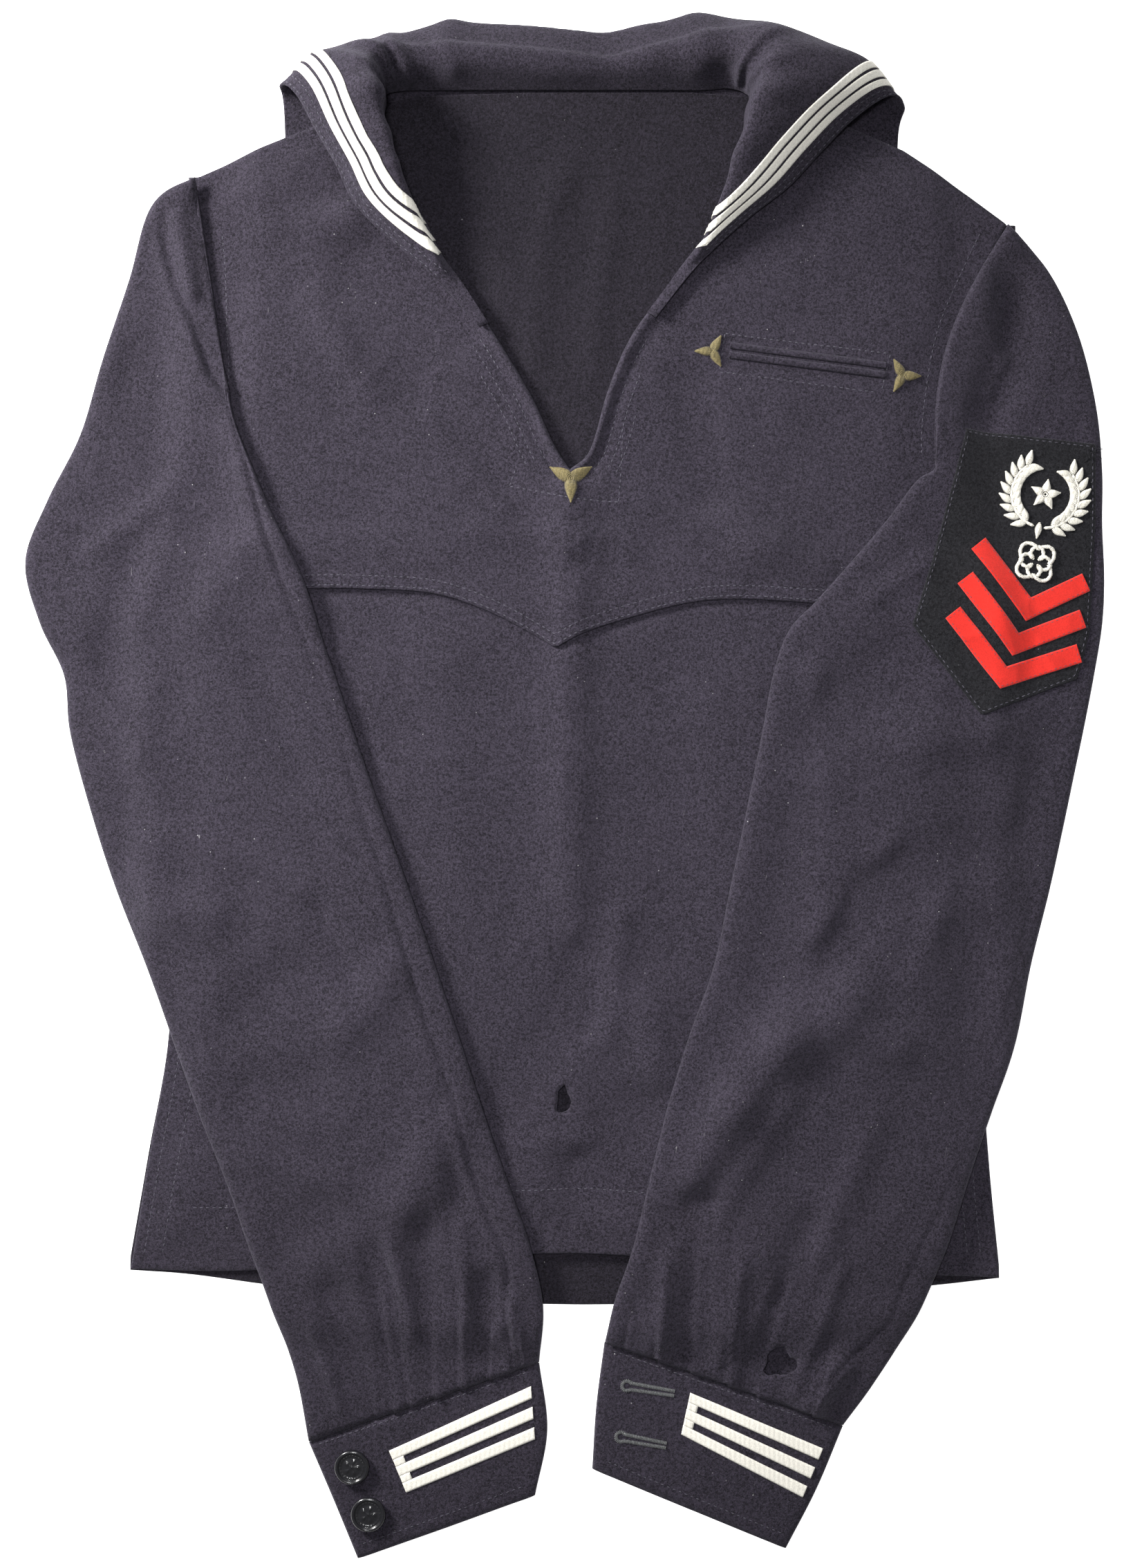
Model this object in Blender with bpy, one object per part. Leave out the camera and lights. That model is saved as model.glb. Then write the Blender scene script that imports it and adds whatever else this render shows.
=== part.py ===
"""Sailor jumper of navy wool, laid flat on its back with both sleeves folded down over the front.

Run with: blender --background --python part.py
The tables are in millimetres: +X to the wearer's left, +Y to the collar, +Z up from the surface it lies on.
Each piece of cloth is a closed wall. Panels are outlines filled with points, lifted to a height that follows
from what lies below. Sleeves and cuffs are flattened tubes, and the collar is a swept roll.
"""

from collections import namedtuple
from math import pi

import bmesh
import bpy
import numpy as np
from mathutils import Vector
from mathutils.bvhtree import BVHTree
from mathutils.geometry import delaunay_2d_cdt

MM = 0.001

# Driving dimensions
CLOTH = 1.4               # thickness of the wool cloth
TAPE = 0.6                # thickness of tapes, welts and badge pieces
THREAD = 0.9              # thickness of the raised embroidery
LAYER_GAP = 0.6           # between cloth that lies on cloth
SLEEVE_GAP = 1.3          # between a sleeve and what it lies on
SEAM_GAP = 0.3            # between the edges of two pieces at a seam
PANEL_STEP = 17.0         # spacing of the points inside a panel
BACK_STEP = 23.0          # the same in the back, which lies flat
PATCH_STEP = 13.0         # the same in the badge's patch
SMALL_STEP = 9.0          # the same in small pieces
SLEEVE_STEPS = 10         # steps across a sleeve
LEAST_SLANT = 0.13        # keeps the hollow of a sleeve clear of a fold that a ring meets at a slant
TUBE_HEIGHT = 6.4         # a sleeve laid flat: two walls and the air between them
CUFF_HEIGHT = 4.6         # a cuff laid flat
ROLL_LIFT = 1.4           # how far the collar's roll lifts the shoulders
SLOPE = 30.0              # how far out cloth comes down to the surface beyond what it lies on
PLATEAU = 8.0             # how far out it stays up
BUTTON_DIAMETER = 17.0
BUTTON_HEIGHT = 3.2
TAPE_WIDTH = 4.8
TAPE_SPACE = 1.7
TAPE_GAP = 0.8            # beneath a tape on the curve of the collar
COLLAR_BORDER = 10.5      # from the collar's edge to the first tape

Point = namedtuple("Point", "x y")
Edge = namedtuple("Edge", "y left right")
Span = namedtuple("Span", "outer_x outer_y inner_x inner_y bow", defaults=(0,))
Fold = namedtuple("Fold", "x0 y0 x1 y1 width height")
Roll = namedtuple("Roll", "seam rise turn fall edge")

# The body's side edges, from the hem up to the shoulder
SIDES = [
    Edge(-234, -214, 213), Edge(-181, -205, 208), Edge(-113, -194, 203), Edge(-1, -189, 198),
    Edge(89, -196, 201), Edge(128, -181, 184), Edge(169, -174, 180), Edge(203, -171, 183),
    Edge(230, -172, 189), Edge(260, -173, 202), Edge(284, -176, 213), Edge(302, -180, 216),
]
# Where the panels' side edges take a point: up to the yoke, and beside it
BODY_HEIGHTS = (-181, -113, -1, 86)
YOKE_HEIGHTS = (128, 169, 203, 230, 260)
SHOULDERS = [
    Point(-180, 302), Point(-148, 316), Point(-123, 326), Point(-92, 337), Point(-74, 341), Point(-20, 343),
    Point(62, 343), Point(90, 341), Point(133, 328), Point(165, 314), Point(197, 293), Point(214, 279),
]
BACK_HEM = [
    Point(-213, -234), Point(-185, -236), Point(-148, -241), Point(-108, -246), Point(7, -251),
    Point(113, -247), Point(176, -242), Point(212, -238),
]
FRONT_HEM = [
    Point(-213, -233), Point(-166, -234), Point(-108, -231), Point(-60, -227), Point(-11, -225),
    Point(29, -226), Point(95, -232), Point(179, -236), Point(213, -237),
]
# The pointed lower edge of the yoke, which turns up to its point at the centre
YOKE_EDGE = [
    Point(-195, 92), Point(-165, 98), Point(-127, 100), Point(-100, 100), Point(-66, 98), Point(-40, 90),
    Point(-18, 79), Point(-5, 71), Point(8, 78), Point(25, 84), Point(59, 93), Point(86, 95),
    Point(121, 93), Point(163, 90), Point(200, 87),
]
YOKE_OVERLAP = 9.0        # how far the lower front reaches up beneath the yoke
NECKLINE = [
    Point(-92, 336), Point(-88, 318), Point(-82, 303), Point(-74, 285), Point(-62, 262), Point(-51, 247),
    Point(-43, 237), Point(-30, 217), Point(-16, 193), Point(-6, 171), Point(2, 158), Point(12, 168),
    Point(21, 198), Point(33, 225), Point(55, 253), Point(66, 263), Point(75, 285), Point(80, 305),
    Point(86, 322), Point(90, 340),
]
# The collar around the neck: seam, rise, turn, fall and edge, each (x, y, z) in the middle of the cloth
COLLAR = [
    Roll((-50, 248, 9.2), (-51.5, 247.6, 9.6), (-53.5, 247.2, 10.1), (-56, 246.6, 10.6), (-59, 246, 11)),
    Roll((-60, 261, 9.2), (-61, 260, 12), (-62, 258, 15), (-65, 257, 14), (-69, 256, 11.5)),
    Roll((-68, 277, 9.2), (-69, 276, 14), (-71, 275, 20), (-78, 273, 18), (-88, 272, 11.5)),
    Roll((-77, 293, 9.2), (-77, 292, 17), (-78, 291, 26), (-88, 289, 24), (-103, 288, 11.5)),
    Roll((-83, 308, 9.2), (-83, 307, 19), (-83, 306, 30), (-95, 305, 26), (-111, 305, 12)),
    Roll((-88, 323, 9.2), (-87, 323, 20), (-88, 323, 32), (-101, 322, 29), (-121, 322, 14)),
    Roll((-91, 337, 9.2), (-90, 338, 20), (-92, 340, 33), (-108, 341, 29), (-130, 338, 16)),
    Roll((-89, 342, 5), (-90, 345, 18), (-96, 350, 28), (-118, 357, 19), (-139, 345, 9)),
    Roll((-84, 344, 4), (-86, 350, 16), (-94, 361, 20), (-122, 360, 5), (-138, 330, 0.7)),
    Roll((-76, 345, 3), (-79, 353, 15), (-86, 363, 15), (-95, 357, 0.7), (-136, 240, 0.7)),
    Roll((-60, 345, 3), (-62, 354, 14), (-66, 364, 13), (-70, 358, 0.7), (-135, 144, 0.7)),
    Roll((-38, 345, 3), (-39, 355, 14), (-40, 364, 12), (-41, 358, 0.7), (-75, 142, 0.7)),
    Roll((-8, 345, 3), (-8, 353, 12), (-8, 361, 11), (-8, 356, 0.7), (-15, 141, 0.7)),
    Roll((20, 345, 3), (20, 352, 11), (20, 359, 10), (20, 355, 0.7), (40, 141, 0.7)),
    Roll((46, 345, 3), (46, 355, 14), (47, 364, 13), (48, 358, 0.7), (100, 142, 0.7)),
    Roll((66, 345, 3), (68, 357, 18), (72, 369, 16), (76, 360, 0.7), (162, 144, 0.7)),
    Roll((78, 346, 3), (81, 358, 22), (92, 371, 20), (104, 363, 0.7), (163, 240, 0.7)),
    Roll((84, 345, 4), (88, 355, 24), (106, 366, 24), (140, 358, 5), (163, 318, 0.7)),
    Roll((88, 343, 5), (91, 348, 24), (105, 355, 32), (142, 354, 21), (165, 335, 9)),
    Roll((90, 338, 9.2), (91, 340, 22), (98, 342, 33), (124, 342, 30), (156, 338, 15)),
    Roll((87, 322, 9.2), (88, 324, 20), (91, 327, 33), (112, 328, 29), (140, 328, 13)),
    Roll((82, 306, 9.2), (82, 308, 19), (84, 310, 31), (100, 312, 27), (125, 313, 12)),
    Roll((77, 288, 9.2), (77, 290, 17), (78, 292, 26), (90, 294, 24), (109, 296, 11.5)),
    Roll((70, 274, 9.2), (71, 275, 14), (72, 277, 20), (80, 279, 18), (91, 282, 11.5)),
    Roll((61, 262, 9.2), (62, 262.4, 12), (65, 263.5, 14.5), (69, 265.5, 14), (75, 268, 11.5)),
    Roll((53, 252, 9.2), (54.5, 252.5, 9.6), (56.5, 253, 10.1), (59, 253.6, 10.6), (62, 254.5, 11)),
]
COLLAR_ROWS = 2           # rows of the wall for each row of the table
COLLAR_ACROSS = 12        # steps of the wall from the seam to the edge
TAPE_ROWS = {"right": range(6, 15), "left": range(37, 45)}      # where the tapes show, in rows of the wall
BACK_FALL = Edge(136, -140, 168)      # the part of the collar that lies beneath the back

# Sleeves as flattened tubes, from the armhole to the cuff: the outer and the inner fold, and how far the line
# between them bows along X where it follows the armhole
SLEEVE_RIGHT = [
    Span(-181, 301, -165, 196), Span(-203, 288, -160, 178), Span(-214, 252, -151, 156),
    Span(-227, 213, -143, 137), Span(-238, 176, -134, 119), Span(-254, 144, -127, 103),
    Span(-265, 114, -122, 88), Span(-258, 84, -118, 74), Span(-246, 58, -113, 60), Span(-243, 30, -107, 42),
    Span(-233, -8, -98, 15), Span(-220, -48, -87, -16), Span(-204, -86, -75, -50), Span(-190, -125, -62, -88),
    Span(-177, -160, -50, -124), Span(-165, -190, -39, -158), Span(-154, -222, -27, -192),
    Span(-142, -256, -17, -221), Span(-132, -286, -11, -250), Span(-126, -317.4, -13, -278.4),
]
SLEEVE_LEFT = [
    Span(216, 278, 180, 160, -12), Span(236, 257, 180, 159, -5), Span(251, 226, 179.5, 158.3, -1),
    Span(260, 190, 179, 157.6), Span(263, 158, 177.5, 156.6), Span(263, 132, 170, 151.5),
    Span(264, 106, 156, 133), Span(263, 83, 138, 112), Span(259, 58, 121, 93), Span(254, 32, 108.5, 79.5),
    Span(249, 8, 101, 58), Span(244, -16, 96, 32), Span(237, -48, 88, -8), Span(228, -84, 80, -46),
    Span(220, -121, 72, -84), Span(208, -155, 60, -118), Span(196, -190, 50, -151), Span(184, -226, 41, -187),
    Span(169, -260, 33, -220), Span(151, -289, 24, -247), Span(136, -309.4, 19, -268.4),
]
CUFF_RIGHT = [Span(-126, -318, -13, -279), Span(-114, -346, -9, -312), Span(-102, -375, -15, -344)]
CUFF_LEFT = [Span(136, -310, 19, -269), Span(123, -341, 15, -300), Span(108, -370, 13, -331)]
BUTTONS = [Point(-104.5, -329), Point(-96.5, -352)]
BUTTONHOLE_WIDTH = 1.8
CUFF_TAPE_RIGHT = [Point(-86.5, -321.5), Point(-17, -290), Point(-15, -316), Point(-78, -342)]
CUFF_TAPE_LEFT = [Point(61, -293), Point(126, -320.5), Point(116, -344.5), Point(56.5, -313.5)]
BUTTONHOLES = [(Point(30, -290), Point(53, -293.5)), (Point(27, -315), Point(49, -319))]

# The largest folds: from one end to the other, half width, and height (a trough is below zero)
BODY_FOLDS = [
    Fold(-173, 254, -105, 295, 15, -1.6), Fold(-142, 275, -108, 282, 12, 1.8),
    Fold(-95, 254, -55, 230, 13, -1.6), Fold(-74, 200, -33, 156, 11, -1.2),
    Fold(62, 200, 72, 146, 10, -1.2), Fold(75, 135, 103, 122, 9, 1.2), Fold(92, 118, 123, 108, 9, 1.2),
    Fold(2, 146, 2, -64, 11, 1.6), Fold(2, -64, 12, -100, 12, -1.0), Fold(41, -107, 45, -135, 12, 1.6),
    Fold(0, -111, -34, -155, 12, -1.4), Fold(38, -152, 8, -189, 12, -1.4),
]
SLEEVE_FOLDS = [
    Fold(-176, 290, -168, 246, 9, -1.6), Fold(-210, 206, -180, 152, 15, -1.4),
    Fold(-169, 132, -197, 98, 15, -1.6), Fold(-197, 98, -224, 64, 14, -1.4),
    Fold(-203, -60, -176, -60, 12, 1.4), Fold(-156, -108, -132, -87, 12, -1.2),
    Fold(-108, -114, -84, -87, 12, 1.4), Fold(-152, -145, -125, -141, 11, -1.2),
    Fold(-54, -162, -76, -200, 14, 1.6), Fold(-142, -220, -118, -206, 11, -1.2),
    Fold(-112, -245, -94, -300, 7, -1.4), Fold(-92, -225, -80, -290, 7, -1.4),
    Fold(-70, -210, -64, -282, 7, -1.4), Fold(-38, -240, -36, -276, 7, -1.6),
    Fold(-27, -250, -24, -272, 6, 1.2), Fold(216, 260, 222, 220, 9, -1.8),
    Fold(216, 203, 205, 184, 9, -1.6), Fold(123, 33, 167, 67, 14, -1.4), Fold(174, 28, 205, 28, 11, 1.2),
    Fold(109, -16, 99, -87, 13, -1.4), Fold(211, -22, 147, -50, 13, -1.6),
    Fold(147, -50, 130, -80, 12, -1.4), Fold(208, -73, 194, -107, 12, -1.2),
    Fold(137, -100, 106, -121, 14, 2.0), Fold(106, -121, 82, -152, 14, 2.0),
    Fold(82, -152, 62, -186, 14, 1.8), Fold(137, -114, 160, -123, 11, 1.4),
    Fold(68, -196, 38, -213, 12, -1.2), Fold(66, -200, 62, -272, 7, -1.6),
    Fold(118, -210, 92, -282, 7, -1.6), Fold(31, -250, 30, -266, 6, -1.2),
    Fold(136, -280, 122, -298, 8, 1.4),
]

# What is sewn on
POCKET = (Point(80, 216.5), Point(156, 206.5))
WELT_WIDTH = 4.4
TACKS = {"tack_neck": (Point(2.5, 153.5), 270, 13.0), "tack_pocket_inner": (Point(71.5, 216), 180, 9.5),
         "tack_pocket_outer": (Point(164.5, 204), 0, 10.0)}
BADGE_PATCH = [
    Point(195, 178), Point(259, 171), Point(259, 132), Point(256, 78), Point(250, 56), Point(202, 38),
    Point(168, 82), Point(181, 125),
]
CHEVRON_WIDTH = 9.4
CHEVRONS = [
    (Point(197, 119), Point(224, 84), Point(256, 99)), (Point(190, 102), Point(217, 67), Point(254, 81)),
    (Point(184, 85), Point(211, 51), Point(252, 64)),
]
BADGE_TURN = -11.7        # the badge leans outwards
SPRAY_CENTRE, SPRAY_RADIUS = Point(234, 146), 20.0
STAR_RADIUS = 7.5
KNOT_CENTRE, KNOT_RADIUS = Point(229, 113), 12.0
FRONT_HOLE = (Point(-1, -150), 6.5, 13.6)
SLEEVE_HOLE = (Point(104.5, -278), 15.0, 14.0)


def xy(points):
    """A list of points as an array."""
    return np.array([(p.x, p.y) for p in points], float)


def smooth(t):
    """0 to 1 with a soft start and end."""
    t = np.clip(t, 0.0, 1.0)
    return t * t * (3 - 2 * t)


def along(points, x):
    """The height y of a line of points that runs from left to right, at x."""
    line = xy(points)
    return np.interp(x, line[:, 0], line[:, 1])


def resample(line, step):
    """Points about one step apart along a line, which keeps its own points."""
    out = []
    for a, b in zip(line[:-1], line[1:]):
        count = max(1, int(round(np.linalg.norm(b - a) / step)))
        out += [a + (b - a) * i / count for i in range(count)]
    return np.array(out + [line[-1]])


def spline(rows, count):
    """A smooth curve through rows of numbers, with count steps between each two rows."""
    rows = np.asarray(rows, float)
    padded = np.vstack([2 * rows[0] - rows[1], rows, 2 * rows[-1] - rows[-2]])
    out = []
    for i in range(len(rows) - 1):
        a, b, c, d = padded[i:i + 4]
        for t in np.arange(count) / count:
            out.append(0.5 * (2 * b + (c - a) * t + (2 * a - 5 * b + 4 * c - d) * t**2
                              + (3 * b - a - 3 * c + d) * t**3))
    return np.array(out + [rows[-1]])


def side(y, name):
    """The body's left or right edge at y."""
    return np.interp(y, [row.y for row in SIDES], [getattr(row, name) for row in SIDES])


def inside_by(x, y):
    """How far a place lies inside the body's outline, roughly, and below zero outside it."""
    across = np.minimum(x - side(y, "left"), side(y, "right") - x)
    return np.minimum(across, np.minimum(y - along(BACK_HEM, x), along(SHOULDERS, x) - y))


def fold_height(folds, x, y):
    """The sum of the folds' soft ridges and troughs."""
    total = 0.0
    for f in folds:
        dx, dy = f.x1 - f.x0, f.y1 - f.y0
        t = np.clip(((x - f.x0) * dx + (y - f.y0) * dy) / (dx * dx + dy * dy), 0, 1)
        distance = np.hypot(x - f.x0 - t * dx, y - f.y0 - t * dy) / f.width
        total = total + f.height * np.exp(-distance**2)
    return total


def back_base(x, y):
    """The underside of the back: on the surface, and lifted where the collar's fall lies beneath it."""
    inward = np.minimum(np.minimum(x - BACK_FALL.left, BACK_FALL.right - x), y - BACK_FALL.y)
    thick = CLOTH + LAYER_GAP + ROLL_LIFT * smooth((y - 250) / 50)
    return thick * smooth((inward + SLOPE) / (SLOPE - PLATEAU))


def front_base(x, y):
    """The underside of the front, on the back, with the body's folds."""
    rise = 2.2 + fold_height(BODY_FOLDS, x, y)
    fade = smooth(inside_by(x, y) / 25)
    return back_base(x, y) + CLOTH + LAYER_GAP + np.maximum(rise * fade, 0)


def yoke_base(x, y):
    """The underside of the yoke, which lies over the top of the lower front."""
    over = smooth((along(YOKE_EDGE, x) + YOKE_OVERLAP + 28 - y) / 20)
    return front_base(x, y) + (CLOTH + LAYER_GAP) * over


def body_top(x, y):
    """What the sleeves lie on: the top of the body, which comes down to the surface outside its outline."""
    covered = smooth((inside_by(x, y) + SLOPE) / (SLOPE - PLATEAU))
    near = smooth((y - along(YOKE_EDGE, x) + 30) / 24)
    top = front_base(x, y) + near * (yoke_base(x, y) - front_base(x, y)) + CLOTH + SLEEVE_GAP
    return top * covered


def material(name, colour, roughness):
    """A finish with one colour."""
    found = bpy.data.materials.get(name)
    if found:
        return found
    made = bpy.data.materials.new(name)
    made.use_nodes = True
    shader = made.node_tree.nodes["Principled BSDF"]
    shader.inputs["Base Color"].default_value = (*colour, 1)
    shader.inputs["Roughness"].default_value = roughness
    return made


def navy():
    return material("navy_wool", (0.022, 0.019, 0.034), 0.95)


def add(name, points, faces, finish, flat=False):
    """One closed solid, from points in millimetres, with its faces pointing out."""
    mesh = bpy.data.meshes.new(name)
    shell = bmesh.new()
    corners = [shell.verts.new(Vector(p) * MM) for p in points]
    for face in faces:
        shell.faces.new([corners[i] for i in face])
    bmesh.ops.recalc_face_normals(shell, faces=shell.faces)
    if shell.calc_volume(signed=True) < 0:
        bmesh.ops.reverse_faces(shell, faces=shell.faces)
    shell.to_mesh(mesh)
    shell.free()
    if not flat:
        mesh.shade_smooth()
        mesh.set_sharp_from_angle(angle=pi / 4)
    mesh.materials.append(finish)
    thing = bpy.data.objects.new(name, mesh)
    bpy.context.scene.collection.objects.link(thing)
    return thing


def within(points, outline):
    """Which points lie inside a closed outline, by counting the sides to their right."""
    inside = np.zeros(len(points), bool)
    for a, b in zip(outline, np.roll(outline, -1, axis=0)):
        spans = (a[1] > points[:, 1]) != (b[1] > points[:, 1])
        rise = b[1] - a[1] if b[1] != a[1] else 1.0
        inside ^= spans & (points[:, 0] < a[0] + (points[:, 1] - a[1]) / rise * (b[0] - a[0]))
    return inside


def clearance(points, outline):
    """How far each point lies from an outline."""
    best = np.full(len(points), 1e9)
    for a, b in zip(outline, np.roll(outline, -1, axis=0)):
        d = b - a
        t = np.clip(((points - a) @ d) / max(d @ d, 1e-9), 0, 1)
        best = np.minimum(best, np.linalg.norm(points - a - t[:, None] * d, axis=1))
    return best


def panel(name, outline, base, thickness, finish, step=PANEL_STEP, holes=()):
    """Cloth inside an outline, filled with evenly spaced points, lifted to base and given its thickness."""
    edge_step = min(step, PANEL_STEP)
    loops = [resample(np.vstack([loop, loop[:1]]), edge_step)[:-1] for loop in (outline, *holes)]
    low, high = outline.min(axis=0), outline.max(axis=0)
    rows = np.arange(np.floor(low[1] / step), np.ceil(high[1] / step) + 1)
    columns = np.arange(np.floor(low[0] / step) - 1, np.ceil(high[0] / step) + 1)
    grid = np.array([((c + 0.5 * (r % 2)) * step, r * step * 0.95) for r in rows * 1.0 for c in columns])
    keep = within(grid, loops[0]) & (clearance(grid, loops[0]) > step * 0.45)
    for hole in loops[1:]:
        keep &= ~within(grid, hole) & (clearance(grid, hole) > step * 0.3)
    points = np.vstack([*loops, grid[keep]])
    edges, first = [], 0
    for loop in loops:
        edges += [(first + i, first + (i + 1) % len(loop)) for i in range(len(loop))]
        first += len(loop)
    flat, _, triangles, *_ = delaunay_2d_cdt([Vector(p) for p in points], edges, [], 1, 1e-4)
    flat = np.array([tuple(p) for p in flat])
    triangles = np.array(triangles)
    middles = flat[triangles].mean(axis=1)
    for hole in loops[1:]:
        triangles = triangles[~within(middles, hole)]
        middles = flat[triangles].mean(axis=1)
    lower = np.column_stack([flat, base(flat[:, 0], flat[:, 1])])
    upper = lower + (0, 0, thickness)
    return add(name, np.vstack([lower, upper]), walls(triangles, len(flat)), finish)


def walls(triangles, count):
    """The faces of a sheet's lower side, its upper side, and the strip along each open edge."""
    faces = [tuple(t[::-1]) for t in triangles] + [tuple(t + count) for t in triangles]
    sides = {(a, b) for t in triangles for a, b in ((t[0], t[1]), (t[1], t[2]), (t[2], t[0]))}
    faces += [(a, b, b + count, a + count) for a, b in sides if (b, a) not in sides]
    return faces


def loops_of(rings, closed, ends):
    """Faces between rings of points numbered in order, split along the same diagonals on both sides of the
    wall. ends joins the outer and inner rings at both openings."""
    rows, columns = rings
    faces = []
    around = columns if closed else columns - 1
    for i in range(rows - 1):
        for j in range(around):
            a, b = i * columns + j, i * columns + (j + 1) % columns
            faces += [(a, b, b + columns), (a, b + columns, a + columns)]
    shell = rows * columns
    inner = [tuple(k + shell for k in reversed(face)) for face in faces]
    rims = []
    if ends:
        for j in range(around):
            a, b = j, (j + 1) % columns
            rims.append((b, a, a + shell, b + shell))
            c, d = a + shell - columns, b + shell - columns
            rims.append((c, d, d + shell, c + shell))
    if not closed:
        for i in range(rows - 1):
            a, b = i * columns, (i + 1) * columns
            rims.append((a, b, b + shell, a + shell))
            c, d = a + columns - 1, b + columns - 1
            rims.append((d, c, c + shell, d + shell))
    return faces + inner + rims


def slant(across, fold):
    """The sine of the angle at which rings meet the line of a fold, and no less than LEAST_SLANT."""
    run = np.gradient(fold, axis=0)
    run /= np.linalg.norm(run, axis=1, keepdims=True)
    return np.maximum(np.abs(across[:, 0] * run[:, 1] - across[:, 1] * run[:, 0]), LEAST_SLANT)


def tube_rings(spans, base, height, wall, half, inset, folds):
    """The upper and the lower half of a flattened tube, each from the outer to the inner fold.
    The half height follows a rounded lens, and the points crowd at the folds."""
    upper, lower = [], []
    table = np.array(spans, float)
    across = table[:, 2:4] - table[:, :2]
    across /= np.linalg.norm(across, axis=1, keepdims=True)
    insets = [inset / slant(across, table[:, k:k + 2]) for k in (0, 2)]
    for i, span in enumerate(spans):
        outer, inner = np.array(span[:2]), np.array(span[2:4])
        outer, inner = outer + across[i] * insets[0][i], inner - across[i] * insets[1][i]
        turn = np.arange(half + 1) / half * pi
        u = (1 - np.cos(turn)) / 2
        place = outer + np.outer(u, inner - outer) + np.outer(np.sin(pi * u), (span.bow, 0))
        x, y = place[:, 0], place[:, 1]
        lens = np.abs(np.sin(turn)) ** 0.45
        middle = base(x, y) + height / 2
        lift = fold_height(folds, x, y) * smooth(np.minimum(u, 1 - u) * 5)
        upper.append(np.column_stack([x, y, middle + lens * (height / 2 - wall) + lift]))
        lower.append(np.column_stack([x, y, middle - lens * (height / 2 - wall)]))
    return np.array(upper), np.array(lower)


def tube(name, spans, base, height, finish, half):
    """A flattened tube of cloth, open at both ends."""
    shells = []
    for wall, inset in ((0, 0), (CLOTH, CLOTH)):
        upper, lower = tube_rings(spans, base, height, wall, half, inset, ())
        shells.append(np.concatenate([upper, lower[:, -2:0:-1]], axis=1))
    points = np.vstack([shell.reshape(-1, 3) for shell in shells])
    return add(name, points, loops_of(shells[0].shape[:2], True, True), finish)


def sleeve(name, spans):
    """A two-piece sleeve: the top sleeve and the under sleeve, parted at the folds by the seam gap."""
    outside = tube_rings(spans, body_top, TUBE_HEIGHT, 0, SLEEVE_STEPS, 0, SLEEVE_FOLDS)
    inside = tube_rings(spans, body_top, TUBE_HEIGHT, CLOTH, SLEEVE_STEPS, CLOTH, SLEEVE_FOLDS)
    faces = loops_of(outside[0].shape[:2], False, True)
    made = []
    for k, which in enumerate(("top", "under")):
        shells = [outside[k].copy(), inside[k].copy()]
        if which == "under":
            for shell in shells:
                shell[:, (0, -1), 2] -= SEAM_GAP
        points = np.vstack([shell.reshape(-1, 3) for shell in shells])
        made.append(add(f"{name}_{which}", points, faces, navy()))
    return made


def collar_grid():
    """The middle of the collar's cloth: rows around the neck, columns from the seam to the edge."""
    table = np.array([[row.seam, row.rise, row.turn, row.fall, row.edge] for row in COLLAR], float)
    rows = spline(table.reshape(len(table), -1), COLLAR_ROWS).reshape(-1, 5, 3)
    grid = []
    for row in rows:
        line = spline(row, 8)
        line[:, 2] = np.maximum(line[:, 2], CLOTH / 2)
        length = np.concatenate([[0], np.cumsum(np.linalg.norm(np.diff(line, axis=0), axis=1))])
        bend = np.minimum(length, 55) + np.maximum(length - 55, 0) * 0.25
        wanted = np.linspace(0, bend[-1], COLLAR_ACROSS + 1)
        grid.append(np.column_stack([np.interp(wanted, bend, line[:, k]) for k in range(3)]))
    return np.array(grid)


def normals_of(grid):
    """The direction across the cloth at each point of a grid."""
    across, around = np.gradient(grid, axis=1), np.gradient(grid, axis=0)
    normal = np.cross(across, around)
    return normal / np.linalg.norm(normal, axis=2, keepdims=True)


def sheet(name, middle, thickness, finish):
    """A wall around the middle of a grid."""
    offset = normals_of(middle) * thickness / 2
    points = np.vstack([(middle + offset).reshape(-1, 3), (middle - offset).reshape(-1, 3)])
    points[:, 2] = np.maximum(points[:, 2], 0)
    return add(name, points, loops_of(middle.shape[:2], False, True), finish)


def collar_tape(grid, rows, start):
    """The middle of a tape that lies on the collar's outer side, start in from its edge."""
    out = []
    side_of = normals_of(grid)
    for i in rows:
        line = grid[i, ::-1]
        length = np.concatenate([[0], np.cumsum(np.linalg.norm(np.diff(line, axis=0), axis=1))])
        lift = -side_of[i, ::-1] * (CLOTH / 2 + TAPE_GAP + TAPE / 2)
        spots = [start, start + TAPE_WIDTH / 2, start + TAPE_WIDTH]
        raised = line + lift
        out.append([[np.interp(s, length, raised[:, k]) for k in range(3)] for s in spots])
    return np.array(out)


def turned(points, angle, centre):
    """Points turned by an angle in degrees and moved to a centre."""
    a = np.radians(angle)
    return points @ np.array([[np.cos(a), np.sin(a)], [-np.sin(a), np.cos(a)]]) + (centre.x, centre.y)


def lobed(radius, lobes, depth, start=0.0, turn=360.0, count=36):
    """An outline whose distance from its middle rises at each lobe."""
    angle = np.radians(start + np.arange(count) / count * turn)
    reach = radius * (1 - depth + depth * np.abs(np.cos(lobes * (angle - np.radians(start)) / 2)) ** 1.5)
    return np.column_stack([reach * np.cos(angle), reach * np.sin(angle)])


def bar(a, b, width):
    """The four corners of a straight strip from a to b."""
    a, b = np.array([a.x, a.y], float), np.array([b.x, b.y], float)
    d = (b - a) / np.linalg.norm(b - a) * width / 2
    n = np.array([-d[1], d[0]])
    return np.array([a + n, a - n, b - n, b + n])


def moth_hole(hole):
    """A ragged round hole."""
    centre, wide, tall = hole
    angle = np.arange(10) / 10 * 2 * pi
    reach = 1 + 0.16 * np.cos(3 * angle + 1) + 0.1 * np.cos(5 * angle)
    x, y = wide / 2 * reach * np.cos(angle), tall / 2 * reach * np.sin(angle)
    return np.column_stack([centre.x + x, centre.y + y])


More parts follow.
